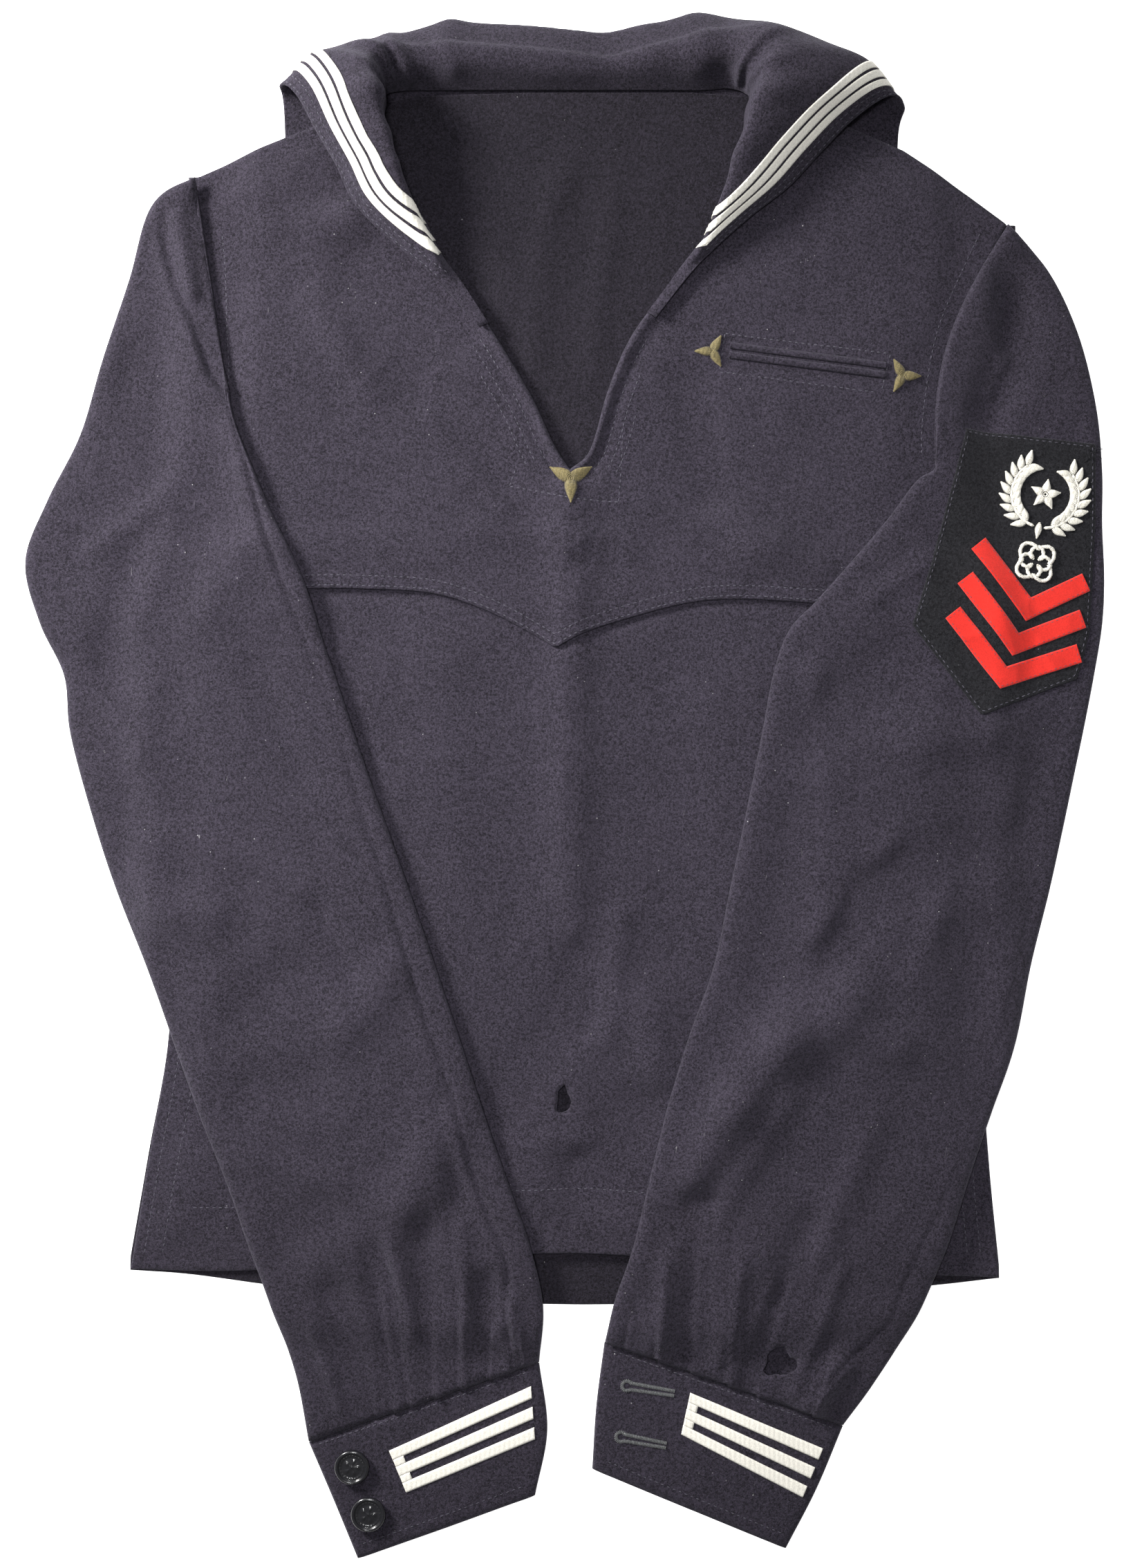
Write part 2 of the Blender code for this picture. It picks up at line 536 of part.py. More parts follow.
def chevron(points):
    """A stripe of one width along three points."""
    a, b, c = (np.array([p.x, p.y], float) for p in points)
    left = np.array([-(b - a)[1], (b - a)[0]]) / np.linalg.norm(b - a)
    right = np.array([-(c - b)[1], (c - b)[0]]) / np.linalg.norm(c - b)
    corner = (left + right) / (1 + left @ right)
    w = CHEVRON_WIDTH
    return np.array([a, a + left * w, b + corner * w, c + right * w, c, b])


def edge_points(heights, name):
    """Points on the body's left or right edge."""
    return [(side(y, name), y) for y in heights]


def build_body():
    """The back, the lower front with its moth hole, and the yoke with what is sewn on it."""
    upward = BODY_HEIGHTS + YOKE_HEIGHTS
    back = np.vstack([xy(BACK_HEM), edge_points(upward, "right"),
                      xy(SHOULDERS)[::-1], edge_points(upward[::-1], "left")])
    panel("back", back, back_base, CLOTH, navy(), BACK_STEP)
    top = xy(YOKE_EDGE)[1:-1] + (0, YOKE_OVERLAP)
    front = np.vstack([xy(FRONT_HEM), edge_points(BODY_HEIGHTS, "right"),
                       top[::-1], edge_points(BODY_HEIGHTS[::-1], "left")])
    panel("front", front, front_base, CLOTH, navy(), PANEL_STEP, [moth_hole(FRONT_HOLE)])
    left_shoulder, right_shoulder = xy(SHOULDERS)[:3], xy(SHOULDERS)[-4:]
    yoke = np.vstack([xy(YOKE_EDGE), edge_points(YOKE_HEIGHTS, "right"),
                      right_shoulder[::-1], xy(NECKLINE)[::-1], left_shoulder[::-1],
                      edge_points(YOKE_HEIGHTS[::-1], "left")])
    build_chest(panel("yoke", yoke, yoke_base, CLOTH, navy()))


def build_collar():
    """The collar in one cloth, and its three white tapes on each side."""
    grid = collar_grid()
    sheet("collar", grid, CLOTH, navy())
    for where, rows in TAPE_ROWS.items():
        for k, name in enumerate(("outer", "middle", "inner")):
            strip = collar_tape(grid, rows, COLLAR_BORDER + k * (TAPE_WIDTH + TAPE_SPACE))
            sheet(f"collar_tape_{name}_{where}", strip, TAPE, material("white_tape", (0.85, 0.84, 0.78), 0.8))


def on_top(thing, gap):
    """A height function: the upper side of a piece, found from its own faces, and a gap more."""
    shape = bmesh.new()
    shape.from_mesh(thing.data)
    tree = BVHTree.FromBMesh(shape)
    shape.free()

    def height(x, y):
        found = []
        for place in zip(x, y):
            hit = tree.ray_cast(Vector((*place, 100)) * MM, Vector((0, 0, -1)))[0]
            if hit is None:
                hit = tree.find_nearest(Vector((*place, 10)) * MM)[0]
            found.append(hit.z / MM + gap)
        return np.array(found)
    return height


def cut(thing, outlines, low, high):
    """Cuts upright holes through a piece between two heights, and applies the cut."""
    for outline in outlines:
        count = len(outline)
        points = np.vstack([np.column_stack([outline, np.full(count, z)]) for z in (low, high)])
        faces = [tuple(range(count))[::-1], tuple(range(count, 2 * count))]
        faces += [(i, (i + 1) % count, (i + 1) % count + count, i + count) for i in range(count)]
        cutter = add("cutter", points, faces, navy(), flat=True)
        knife = thing.modifiers.new("cut", "BOOLEAN")
        knife.operation, knife.solver, knife.object = "DIFFERENCE", "EXACT", cutter
        graph = bpy.context.evaluated_depsgraph_get()
        mesh = bpy.data.meshes.new_from_object(thing.evaluated_get(graph))
        thing.modifiers.clear()
        thing.data = mesh
        bpy.data.objects.remove(cutter)


def build_sleeves():
    """Both sleeves and cuffs, and all that is sewn on them."""
    sleeve("sleeve_right", SLEEVE_RIGHT)
    top, _ = sleeve("sleeve_left", SLEEVE_LEFT)
    centre = SLEEVE_HOLE[0]
    middle = float(body_top(np.array([centre.x]), np.array([centre.y]))[0]) + TUBE_HEIGHT / 2
    cut(top, [moth_hole(SLEEVE_HOLE)], middle + 0.5, middle + TUBE_HEIGHT)
    on_floor = lambda x, y: np.zeros_like(x)
    right = tube("cuff_right", CUFF_RIGHT, on_floor, CUFF_HEIGHT, navy(), 8)
    left = tube("cuff_left", CUFF_LEFT, on_floor, CUFF_HEIGHT, navy(), 8)
    white = material("white_tape", (0.85, 0.84, 0.78), 0.8)
    panel("cuff_tape_right", comb(CUFF_TAPE_RIGHT), on_top(right, LAYER_GAP), TAPE, white, SMALL_STEP)
    panel("cuff_tape_left", comb(CUFF_TAPE_LEFT), on_top(left, LAYER_GAP), TAPE, white, SMALL_STEP)
    cut(left, [bar(*pair, BUTTONHOLE_WIDTH) for pair in BUTTONHOLES], CUFF_HEIGHT / 2, CUFF_HEIGHT + 2)
    for place, name in zip(BUTTONS, ("button_upper", "button_lower")):
        button(name, place)
    build_badge(top)


def button(name, place):
    """A turned button with a raised rim and a domed middle."""
    radius = BUTTON_DIAMETER / 2
    profile = [(0.35, 0.0), (0.9, 0.15), (1.0, 0.5), (0.96, 0.95), (0.84, 1.0), (0.74, 0.72), (0.4, 0.8)]
    turns = 24
    low = CUFF_HEIGHT + SEAM_GAP
    angle = np.arange(turns) / turns * 2 * pi
    points = [(place.x + radius * r * np.cos(a), place.y + radius * r * np.sin(a), low + BUTTON_HEIGHT * h)
              for r, h in profile for a in angle]
    faces = [tuple(range(turns))[::-1], tuple(range((len(profile) - 1) * turns, len(profile) * turns))]
    for i in range(len(profile) - 1):
        faces += [(i * turns + k, i * turns + (k + 1) % turns, (i + 1) * turns + (k + 1) % turns,
                   (i + 1) * turns + k) for k in range(turns)]
    add(name, points, faces, material("black_button", (0.012, 0.012, 0.014), 0.25))


def comb(box):
    """Three bars of tape joined at one end, in a box given by its four corners."""
    a, b, c, d = (np.array([p.x, p.y], float) for p in box)
    bars, joined = (0.0, 0.23, 0.385, 0.615, 0.77, 1.0), 0.075
    places = [(0, 0)]
    for upper, lower in zip(bars[::2], bars[1::2]):
        places += [(1, upper), (1, lower)]
        if lower < 1:
            places += [(joined, lower), (joined, bars[bars.index(lower) + 1])]
    places.append((0, 1))
    s, t = np.array(places).T[..., None]
    return (1 - s) * (1 - t) * a + s * (1 - t) * b + s * t * c + (1 - s) * t * d


def spray(radius):
    """Two leafy branches that rise from one stem, as one outline open at the top."""
    outer = np.radians(np.linspace(128, 412, 29))
    reach = radius * (1 + 0.13 * np.cos(np.arange(29) * pi))
    inner = np.radians(np.linspace(400, 140, 13))
    return np.vstack([np.column_stack([reach * np.cos(outer), reach * np.sin(outer)]),
                      np.column_stack([0.52 * radius * np.cos(inner), 0.52 * radius * np.sin(inner)])])


def build_badge(top):
    """The badge on the left sleeve: its patch, three chevrons, and an embroidered spray, star and knot."""
    patch = panel("badge_patch", xy(BADGE_PATCH), on_top(top, SLEEVE_GAP), TAPE,
                  material("badge_cloth", (0.014, 0.014, 0.017), 0.95), PATCH_STEP)
    red = material("red_felt", (0.62, 0.028, 0.018), 0.9)
    for k, points in enumerate(CHEVRONS):
        panel(f"chevron_{k + 1}", chevron(points), on_top(patch, LAYER_GAP), TAPE, red, SMALL_STEP)
    white = material("white_embroidery", (0.82, 0.8, 0.74), 0.7)
    for name, outline, centre in (("badge_spray", spray(SPRAY_RADIUS), SPRAY_CENTRE),
                                  ("badge_star", lobed(STAR_RADIUS, 5, 0.55, 90), SPRAY_CENTRE),
                                  ("badge_knot", lobed(KNOT_RADIUS, 4, 0.5, 45), KNOT_CENTRE)):
        panel(name, turned(outline, BADGE_TURN, centre), on_top(patch, LAYER_GAP), THREAD, white, SMALL_STEP)


def build_chest(yoke):
    """The breast pocket's two welts and the three arrowhead tacks."""
    a, b = (np.array([p.x, p.y]) for p in POCKET)
    down = np.array([(b - a)[1], -(b - a)[0]]) / np.linalg.norm(b - a) * (WELT_WIDTH + SEAM_GAP) / 2
    for name, shift in (("pocket_welt_upper", -down), ("pocket_welt_lower", down)):
        strip = bar(Point(*(a + shift)), Point(*(b + shift)), WELT_WIDTH)
        panel(name, strip, on_top(yoke, LAYER_GAP), TAPE, navy(), SMALL_STEP)
    gold = material("olive_gold_thread", (0.17, 0.14, 0.06), 0.8)
    for name, (centre, angle, size) in TACKS.items():
        outline = turned(lobed(size, 3, 0.68, 0, count=24), angle, centre)
        panel(name, outline, on_top(yoke, LAYER_GAP), THREAD, gold, SMALL_STEP)


def centre_on_origin():
    """Moves every piece so that the origin lies beneath the middle of the whole outline."""
    meshes = [thing.data for thing in bpy.data.objects]
    places = np.array([corner.co for mesh in meshes for corner in mesh.vertices])
    middle = (places.min(axis=0) + places.max(axis=0)) / 2
    for mesh in meshes:
        for corner in mesh.vertices:
            corner.co -= Vector((middle[0], middle[1], 0))


def build():
    for old in list(bpy.data.objects):
        bpy.data.objects.remove(old, do_unlink=True)
    build_body()
    build_collar()
    build_sleeves()
    centre_on_origin()


if __name__ == "__main__":
    build()
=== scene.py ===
"""Sailor jumper of navy wool, laid flat: the cloth, tapes, sewing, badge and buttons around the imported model.

The tables repeat the part's own, in millimetres. Every piece of cloth is a surface of two parameters, worked
out on a grid with numpy, and lies where the part's solid lies.
"""
from collections import namedtuple
from functools import partial
from math import pi, radians

import bpy
import numpy as np
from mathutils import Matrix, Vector


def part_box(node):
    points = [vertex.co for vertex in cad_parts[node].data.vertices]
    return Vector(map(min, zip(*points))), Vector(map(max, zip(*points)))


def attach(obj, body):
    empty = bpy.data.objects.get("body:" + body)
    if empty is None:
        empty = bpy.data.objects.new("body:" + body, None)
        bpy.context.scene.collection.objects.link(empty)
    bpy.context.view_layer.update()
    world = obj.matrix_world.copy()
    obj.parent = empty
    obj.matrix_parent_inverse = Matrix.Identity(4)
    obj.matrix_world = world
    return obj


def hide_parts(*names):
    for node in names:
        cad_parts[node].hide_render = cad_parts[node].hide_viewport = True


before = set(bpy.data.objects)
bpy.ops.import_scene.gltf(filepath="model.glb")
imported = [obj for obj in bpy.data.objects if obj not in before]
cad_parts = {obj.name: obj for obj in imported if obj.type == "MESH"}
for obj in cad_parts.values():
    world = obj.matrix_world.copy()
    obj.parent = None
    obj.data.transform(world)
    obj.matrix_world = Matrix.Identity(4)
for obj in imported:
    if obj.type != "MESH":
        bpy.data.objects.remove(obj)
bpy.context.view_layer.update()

bl_info = {
    "name": "Sailor Jumper",
    "version": (1, 0, 0),
    "blender": (4, 5, 0),
    "location": "3D View > Sidebar > Jumper",
    "description": "Dresses the packed sailor jumper with cloth, tapes, sewing, badge and buttons",
    "category": "Object",
}

MM = 0.001

# Driving dimensions
CLOTH = 1.4               # thickness of the wool cloth
LAYER_GAP = 0.6           # between cloth that lies on cloth
SLEEVE_GAP = 1.3          # between a sleeve and what it lies on
SEAM_GAP = 0.3            # between the edges of two pieces at a seam
TUBE_HEIGHT = 6.4         # a sleeve laid flat: two walls and the air between them
CUFF_HEIGHT = 4.6         # a cuff laid flat
ROLL_LIFT = 1.4           # how far the collar's roll lifts the shoulders
SLOPE = 30.0              # how far out cloth comes down to the surface beyond what it lies on
PLATEAU = 8.0             # how far out it stays up
BUTTON_DIAMETER = 17.0
BUTTON_HEIGHT = 3.2
TAPE_WIDTH = 4.8
TAPE_SPACE = 1.7
COLLAR_BORDER = 10.5      # from the collar's edge to the first tape

Point = namedtuple("Point", "x y")
Edge = namedtuple("Edge", "y left right")
Span = namedtuple("Span", "outer_x outer_y inner_x inner_y bow", defaults=(0,))
Fold = namedtuple("Fold", "x0 y0 x1 y1 width height")
Roll = namedtuple("Roll", "seam rise turn fall edge")

# The body's side edges, from the hem up to the shoulder
SIDES = [
    Edge(-234, -214, 213), Edge(-181, -205, 208), Edge(-113, -194, 203), Edge(-1, -189, 198),
    Edge(89, -196, 201), Edge(128, -181, 184), Edge(169, -174, 180), Edge(203, -171, 183),
    Edge(230, -172, 189), Edge(260, -173, 202), Edge(284, -176, 213), Edge(302, -180, 216),
]
SHOULDERS = [
    Point(-180, 302), Point(-148, 316), Point(-123, 326), Point(-92, 337), Point(-74, 341), Point(-20, 343),
    Point(62, 343), Point(90, 341), Point(133, 328), Point(165, 314), Point(197, 293), Point(214, 279),
]
BACK_HEM = [
    Point(-213, -234), Point(-185, -236), Point(-148, -241), Point(-108, -246), Point(7, -251),
    Point(113, -247), Point(176, -242), Point(212, -238),
]
FRONT_HEM = [
    Point(-213, -233), Point(-166, -234), Point(-108, -231), Point(-60, -227), Point(-11, -225),
    Point(29, -226), Point(95, -232), Point(179, -236), Point(213, -237),
]
# The pointed lower edge of the yoke, which turns up to its point at the centre
YOKE_EDGE = [
    Point(-195, 92), Point(-165, 98), Point(-127, 100), Point(-100, 100), Point(-66, 98), Point(-40, 90),
    Point(-18, 79), Point(-5, 71), Point(8, 78), Point(25, 84), Point(59, 93), Point(86, 95),
    Point(121, 93), Point(163, 90), Point(200, 87),
]
YOKE_OVERLAP = 9.0        # how far the lower front reaches up beneath the yoke
NECKLINE = [
    Point(-92, 336), Point(-88, 318), Point(-82, 303), Point(-74, 285), Point(-62, 262), Point(-51, 247),
    Point(-43, 237), Point(-30, 217), Point(-16, 193), Point(-6, 171), Point(2, 158), Point(12, 168),
    Point(21, 198), Point(33, 225), Point(55, 253), Point(66, 263), Point(75, 285), Point(80, 305),
    Point(86, 322), Point(90, 340),
]
# The collar around the neck: seam, rise, turn, fall and edge, each (x, y, z) in the middle of the cloth
COLLAR = [
    Roll((-50, 248, 9.2), (-51.5, 247.6, 9.6), (-53.5, 247.2, 10.1), (-56, 246.6, 10.6), (-59, 246, 11)),
    Roll((-60, 261, 9.2), (-61, 260, 12), (-62, 258, 15), (-65, 257, 14), (-69, 256, 11.5)),
    Roll((-68, 277, 9.2), (-69, 276, 14), (-71, 275, 20), (-78, 273, 18), (-88, 272, 11.5)),
    Roll((-77, 293, 9.2), (-77, 292, 17), (-78, 291, 26), (-88, 289, 24), (-103, 288, 11.5)),
    Roll((-83, 308, 9.2), (-83, 307, 19), (-83, 306, 30), (-95, 305, 26), (-111, 305, 12)),
    Roll((-88, 323, 9.2), (-87, 323, 20), (-88, 323, 32), (-101, 322, 29), (-121, 322, 14)),
    Roll((-91, 337, 9.2), (-90, 338, 20), (-92, 340, 33), (-108, 341, 29), (-130, 338, 16)),
    Roll((-89, 342, 5), (-90, 345, 18), (-96, 350, 28), (-118, 357, 19), (-139, 345, 9)),
    Roll((-84, 344, 4), (-86, 350, 16), (-94, 361, 20), (-122, 360, 5), (-138, 330, 0.7)),
    Roll((-76, 345, 3), (-79, 353, 15), (-86, 363, 15), (-95, 357, 0.7), (-136, 240, 0.7)),
    Roll((-60, 345, 3), (-62, 354, 14), (-66, 364, 13), (-70, 358, 0.7), (-135, 144, 0.7)),
    Roll((-38, 345, 3), (-39, 355, 14), (-40, 364, 12), (-41, 358, 0.7), (-75, 142, 0.7)),
    Roll((-8, 345, 3), (-8, 353, 12), (-8, 361, 11), (-8, 356, 0.7), (-15, 141, 0.7)),
    Roll((20, 345, 3), (20, 352, 11), (20, 359, 10), (20, 355, 0.7), (40, 141, 0.7)),
    Roll((46, 345, 3), (46, 355, 14), (47, 364, 13), (48, 358, 0.7), (100, 142, 0.7)),
    Roll((66, 345, 3), (68, 357, 18), (72, 369, 16), (76, 360, 0.7), (162, 144, 0.7)),
    Roll((78, 346, 3), (81, 358, 22), (92, 371, 20), (104, 363, 0.7), (163, 240, 0.7)),
    Roll((84, 345, 4), (88, 355, 24), (106, 366, 24), (140, 358, 5), (163, 318, 0.7)),
    Roll((88, 343, 5), (91, 348, 24), (105, 355, 32), (142, 354, 21), (165, 335, 9)),
    Roll((90, 338, 9.2), (91, 340, 22), (98, 342, 33), (124, 342, 30), (156, 338, 15)),
    Roll((87, 322, 9.2), (88, 324, 20), (91, 327, 33), (112, 328, 29), (140, 328, 13)),
    Roll((82, 306, 9.2), (82, 308, 19), (84, 310, 31), (100, 312, 27), (125, 313, 12)),
    Roll((77, 288, 9.2), (77, 290, 17), (78, 292, 26), (90, 294, 24), (109, 296, 11.5)),
    Roll((70, 274, 9.2), (71, 275, 14), (72, 277, 20), (80, 279, 18), (91, 282, 11.5)),
    Roll((61, 262, 9.2), (62, 262.4, 12), (65, 263.5, 14.5), (69, 265.5, 14), (75, 268, 11.5)),
    Roll((53, 252, 9.2), (54.5, 252.5, 9.6), (56.5, 253, 10.1), (59, 253.6, 10.6), (62, 254.5, 11)),
]
BACK_FALL = Edge(136, -140, 168)      # the part of the collar that lies beneath the back

# Sleeves as flattened tubes, from the armhole to the cuff: the outer and the inner fold, and how far the line
# between them bows along X where it follows the armhole
SLEEVE_RIGHT = [
    Span(-181, 301, -165, 196), Span(-203, 288, -160, 178), Span(-214, 252, -151, 156),
    Span(-227, 213, -143, 137), Span(-238, 176, -134, 119), Span(-254, 144, -127, 103),
    Span(-265, 114, -122, 88), Span(-258, 84, -118, 74), Span(-246, 58, -113, 60), Span(-243, 30, -107, 42),
    Span(-233, -8, -98, 15), Span(-220, -48, -87, -16), Span(-204, -86, -75, -50), Span(-190, -125, -62, -88),
    Span(-177, -160, -50, -124), Span(-165, -190, -39, -158), Span(-154, -222, -27, -192),
    Span(-142, -256, -17, -221), Span(-132, -286, -11, -250), Span(-126, -317.4, -13, -278.4),
]
SLEEVE_LEFT = [
    Span(216, 278, 180, 160, -12), Span(236, 257, 180, 159, -5), Span(251, 226, 179.5, 158.3, -1),
    Span(260, 190, 179, 157.6), Span(263, 158, 177.5, 156.6), Span(263, 132, 170, 151.5),
    Span(264, 106, 156, 133), Span(263, 83, 138, 112), Span(259, 58, 121, 93), Span(254, 32, 108.5, 79.5),
    Span(249, 8, 101, 58), Span(244, -16, 96, 32), Span(237, -48, 88, -8), Span(228, -84, 80, -46),
    Span(220, -121, 72, -84), Span(208, -155, 60, -118), Span(196, -190, 50, -151), Span(184, -226, 41, -187),
    Span(169, -260, 33, -220), Span(151, -289, 24, -247), Span(136, -309.4, 19, -268.4),
]
CUFF_RIGHT = [Span(-126, -318, -13, -279), Span(-114, -346, -9, -312), Span(-102, -375, -15, -344)]
CUFF_LEFT = [Span(136, -310, 19, -269), Span(123, -341, 15, -300), Span(108, -370, 13, -331)]
BUTTONS = [Point(-104.5, -329), Point(-96.5, -352)]
CUFF_TAPE_RIGHT = [Point(-86.5, -321.5), Point(-17, -290), Point(-15, -316), Point(-78, -342)]
CUFF_TAPE_LEFT = [Point(61, -293), Point(126, -320.5), Point(116, -344.5), Point(56.5, -313.5)]
BUTTONHOLES = [(Point(30, -290), Point(53, -293.5)), (Point(27, -315), Point(49, -319))]

# The largest folds: from one end to the other, half width, and height (a trough is below zero)
BODY_FOLDS = [
    Fold(-173, 254, -105, 295, 15, -1.6), Fold(-142, 275, -108, 282, 12, 1.8),
    Fold(-95, 254, -55, 230, 13, -1.6), Fold(-74, 200, -33, 156, 11, -1.2),
    Fold(62, 200, 72, 146, 10, -1.2), Fold(75, 135, 103, 122, 9, 1.2), Fold(92, 118, 123, 108, 9, 1.2),
    Fold(2, 146, 2, -64, 11, 1.6), Fold(2, -64, 12, -100, 12, -1.0), Fold(41, -107, 45, -135, 12, 1.6),
    Fold(0, -111, -34, -155, 12, -1.4), Fold(38, -152, 8, -189, 12, -1.4),
]
SLEEVE_FOLDS = [
    Fold(-176, 290, -168, 246, 9, -1.6), Fold(-210, 206, -180, 152, 15, -1.4),
    Fold(-169, 132, -197, 98, 15, -1.6), Fold(-197, 98, -224, 64, 14, -1.4),
    Fold(-203, -60, -176, -60, 12, 1.4), Fold(-156, -108, -132, -87, 12, -1.2),
    Fold(-108, -114, -84, -87, 12, 1.4), Fold(-152, -145, -125, -141, 11, -1.2),
    Fold(-54, -162, -76, -200, 14, 1.6), Fold(-142, -220, -118, -206, 11, -1.2),
    Fold(-112, -245, -94, -300, 7, -1.4), Fold(-92, -225, -80, -290, 7, -1.4),
    Fold(-70, -210, -64, -282, 7, -1.4), Fold(-38, -240, -36, -276, 7, -1.6),
    Fold(-27, -250, -24, -272, 6, 1.2), Fold(216, 260, 222, 220, 9, -1.8),
    Fold(216, 203, 205, 184, 9, -1.6), Fold(123, 33, 167, 67, 14, -1.4), Fold(174, 28, 205, 28, 11, 1.2),
    Fold(109, -16, 99, -87, 13, -1.4), Fold(211, -22, 147, -50, 13, -1.6),
    Fold(147, -50, 130, -80, 12, -1.4), Fold(208, -73, 194, -107, 12, -1.2),
    Fold(137, -100, 106, -121, 14, 2.0), Fold(106, -121, 82, -152, 14, 2.0),
    Fold(82, -152, 62, -186, 14, 1.8), Fold(137, -114, 160, -123, 11, 1.4),
    Fold(68, -196, 38, -213, 12, -1.2), Fold(66, -200, 62, -272, 7, -1.6),
    Fold(118, -210, 92, -282, 7, -1.6), Fold(31, -250, 30, -266, 6, -1.2),
    Fold(136, -280, 122, -298, 8, 1.4),
]

# What is sewn on
POCKET = (Point(80, 216.5), Point(156, 206.5))
WELT_WIDTH = 4.4
TACKS = {"tack_neck": (Point(2.5, 153.5), 270, 13.0), "tack_pocket_inner": (Point(71.5, 216), 180, 9.5),
         "tack_pocket_outer": (Point(164.5, 204), 0, 10.0)}
BADGE_PATCH = [
    Point(195, 178), Point(259, 171), Point(259, 132), Point(256, 78), Point(250, 56), Point(202, 38),
    Point(168, 82), Point(181, 125),
]
CHEVRON_WIDTH = 9.4
CHEVRONS = [
    (Point(197, 119), Point(224, 84), Point(256, 99)), (Point(190, 102), Point(217, 67), Point(254, 81)),
    (Point(184, 85), Point(211, 51), Point(252, 64)),
]
BADGE_TURN = -11.7        # the badge leans outwards
SPRAY_CENTRE, SPRAY_RADIUS = Point(234, 146), 20.0
STAR_RADIUS = 7.5
KNOT_CENTRE, KNOT_RADIUS = Point(229, 113), 12.0
FRONT_HOLE = (Point(-1, -150), 6.5, 13.6)
SLEEVE_HOLE = (Point(104.5, -278), 15.0, 14.0)

# What only the finished cloth has, in millimetres
GRID = 2.6                # spacing of the points on cloth that shows
LIP = (0.0, 0.45, 1.0, 1.8, 3.0)      # spacing of the points at a turned edge
EDGE_ROUND = 1.7          # how far in a turned edge starts to round off
STITCH, STITCH_PITCH = 2.0, 3.1       # length of a machine stitch and its pitch
CAMERA_HEIGHT = 1000.0    # above the surface
CAMERA_X, CAMERA_Y = -1.3, 2.3
VIEW_TALL = 771.0         # what the photograph takes in, on the surface, from top to bottom
FOLD_ROUND = 6.0          # how far in a folded edge of a tube starts to round off
SLEEVE_FINE, SLEEVE_AROUND = 10, 96   # steps between two rows of a sleeve's table, and across half of it
COLLAR_FINE, COLLAR_STEPS = 8, 120    # the same for the collar
ARMHOLE_UNDER = 5.0       # how far the body reaches beneath a sleeve's head
HEM_DEEP = 31.6           # from the hem up to its stitching
THREAD_PITCH = 0.62       # from one embroidery thread to the next
# Rows of the collar's table that its tapes run along, from the outer to the inner one, and that its sewing
# runs along beside the edge and inside the stand
TAPE_SPAN = {"right": ((1.2, 9.3), (1.6, 9.3), (2.05, 9.3)),
             "left": ((17.3, 24.0), (17.3, 23.55), (17.3, 23.1))}
EDGE_SPAN, STAND_SPAN = ((1.6, 10.2), (18.6, 25.4)), (8.0, 20.0)
EDGE_INSETS = (2.0, 6.5)  # from the collar's edge to each row of its stitches
TAPE_STITCH = (2.6, 1.8, 0.32, 0.12)  # pitch, length, thickness and depth of the stitches on the tapes
CUFF_FINE, CUFF_AROUND = 14, 60       # steps between two rows of a cuff's table, and across half of it
BACK_STEP = 4.5           # spacing of the points on the back, which hardly shows
PANEL_WIDE, FRONT_TALL, BACK_TALL = 405, 325, 560     # rough sizes that space the grids' points
YOKE_DEEP, PATCH_WIDE, PATCH_TALL = 130, 62, 118      # the same for the yoke and the badge's ground

# What the finished cloth has beyond the part's own folds
BODY_CREASES = [
    Fold(-6, -171, 14, -171, 6, 0.7), Fold(-60, 60, -48, -60, 16, 0.6), Fold(52, 50, 58, -70, 15, -0.5),
    Fold(-120, 240, -96, 196, 8, 0.7), Fold(-40, 130, 30, 118, 8, 0.5), Fold(28, -60, 20, -120, 7, 0.8),
    Fold(-160, -120, -120, -180, 12, 0.7), Fold(118, -140, 150, -200, 12, -0.7),
    Fold(-20, -190, 30, -214, 9, 0.6),
    Fold(110, 180, 150, 150, 12, 0.6), Fold(20, 150, 60, 128, 6, 0.6), Fold(-66, 184, -30, 140, 5, 0.6),
]
BACK_FOLDS = [
    Fold(-51, 336, -56, 312, 4.5, 2.0), Fold(-43, 340, -47, 314, 3.5, 1.5), Fold(-66, 338, -70, 300, 6, 2.2),
    Fold(-78, 330, -74, 290, 6, -1.0), Fold(73, 334, 75, 288, 6, -1.0), Fold(62, 332, 66, 294, 5, 1.2),
    Fold(-8, 300, -16, 210, 7, 1.3), Fold(24, 290, 12, 205, 6, 1.1), Fold(-40, 300, -28, 240, 7, 1.0),
    Fold(7, 323, -4, 288, 6, 1.3), Fold(-30, 325, -24, 282, 7, 0.9), Fold(38, 322, 30, 285, 7, -0.7),
    Fold(14, 318, 10, 260, 5, -0.6), Fold(56, 326, 50, 296, 6, 0.8), Fold(-56, 326, -48, 296, 6, 0.7),
]
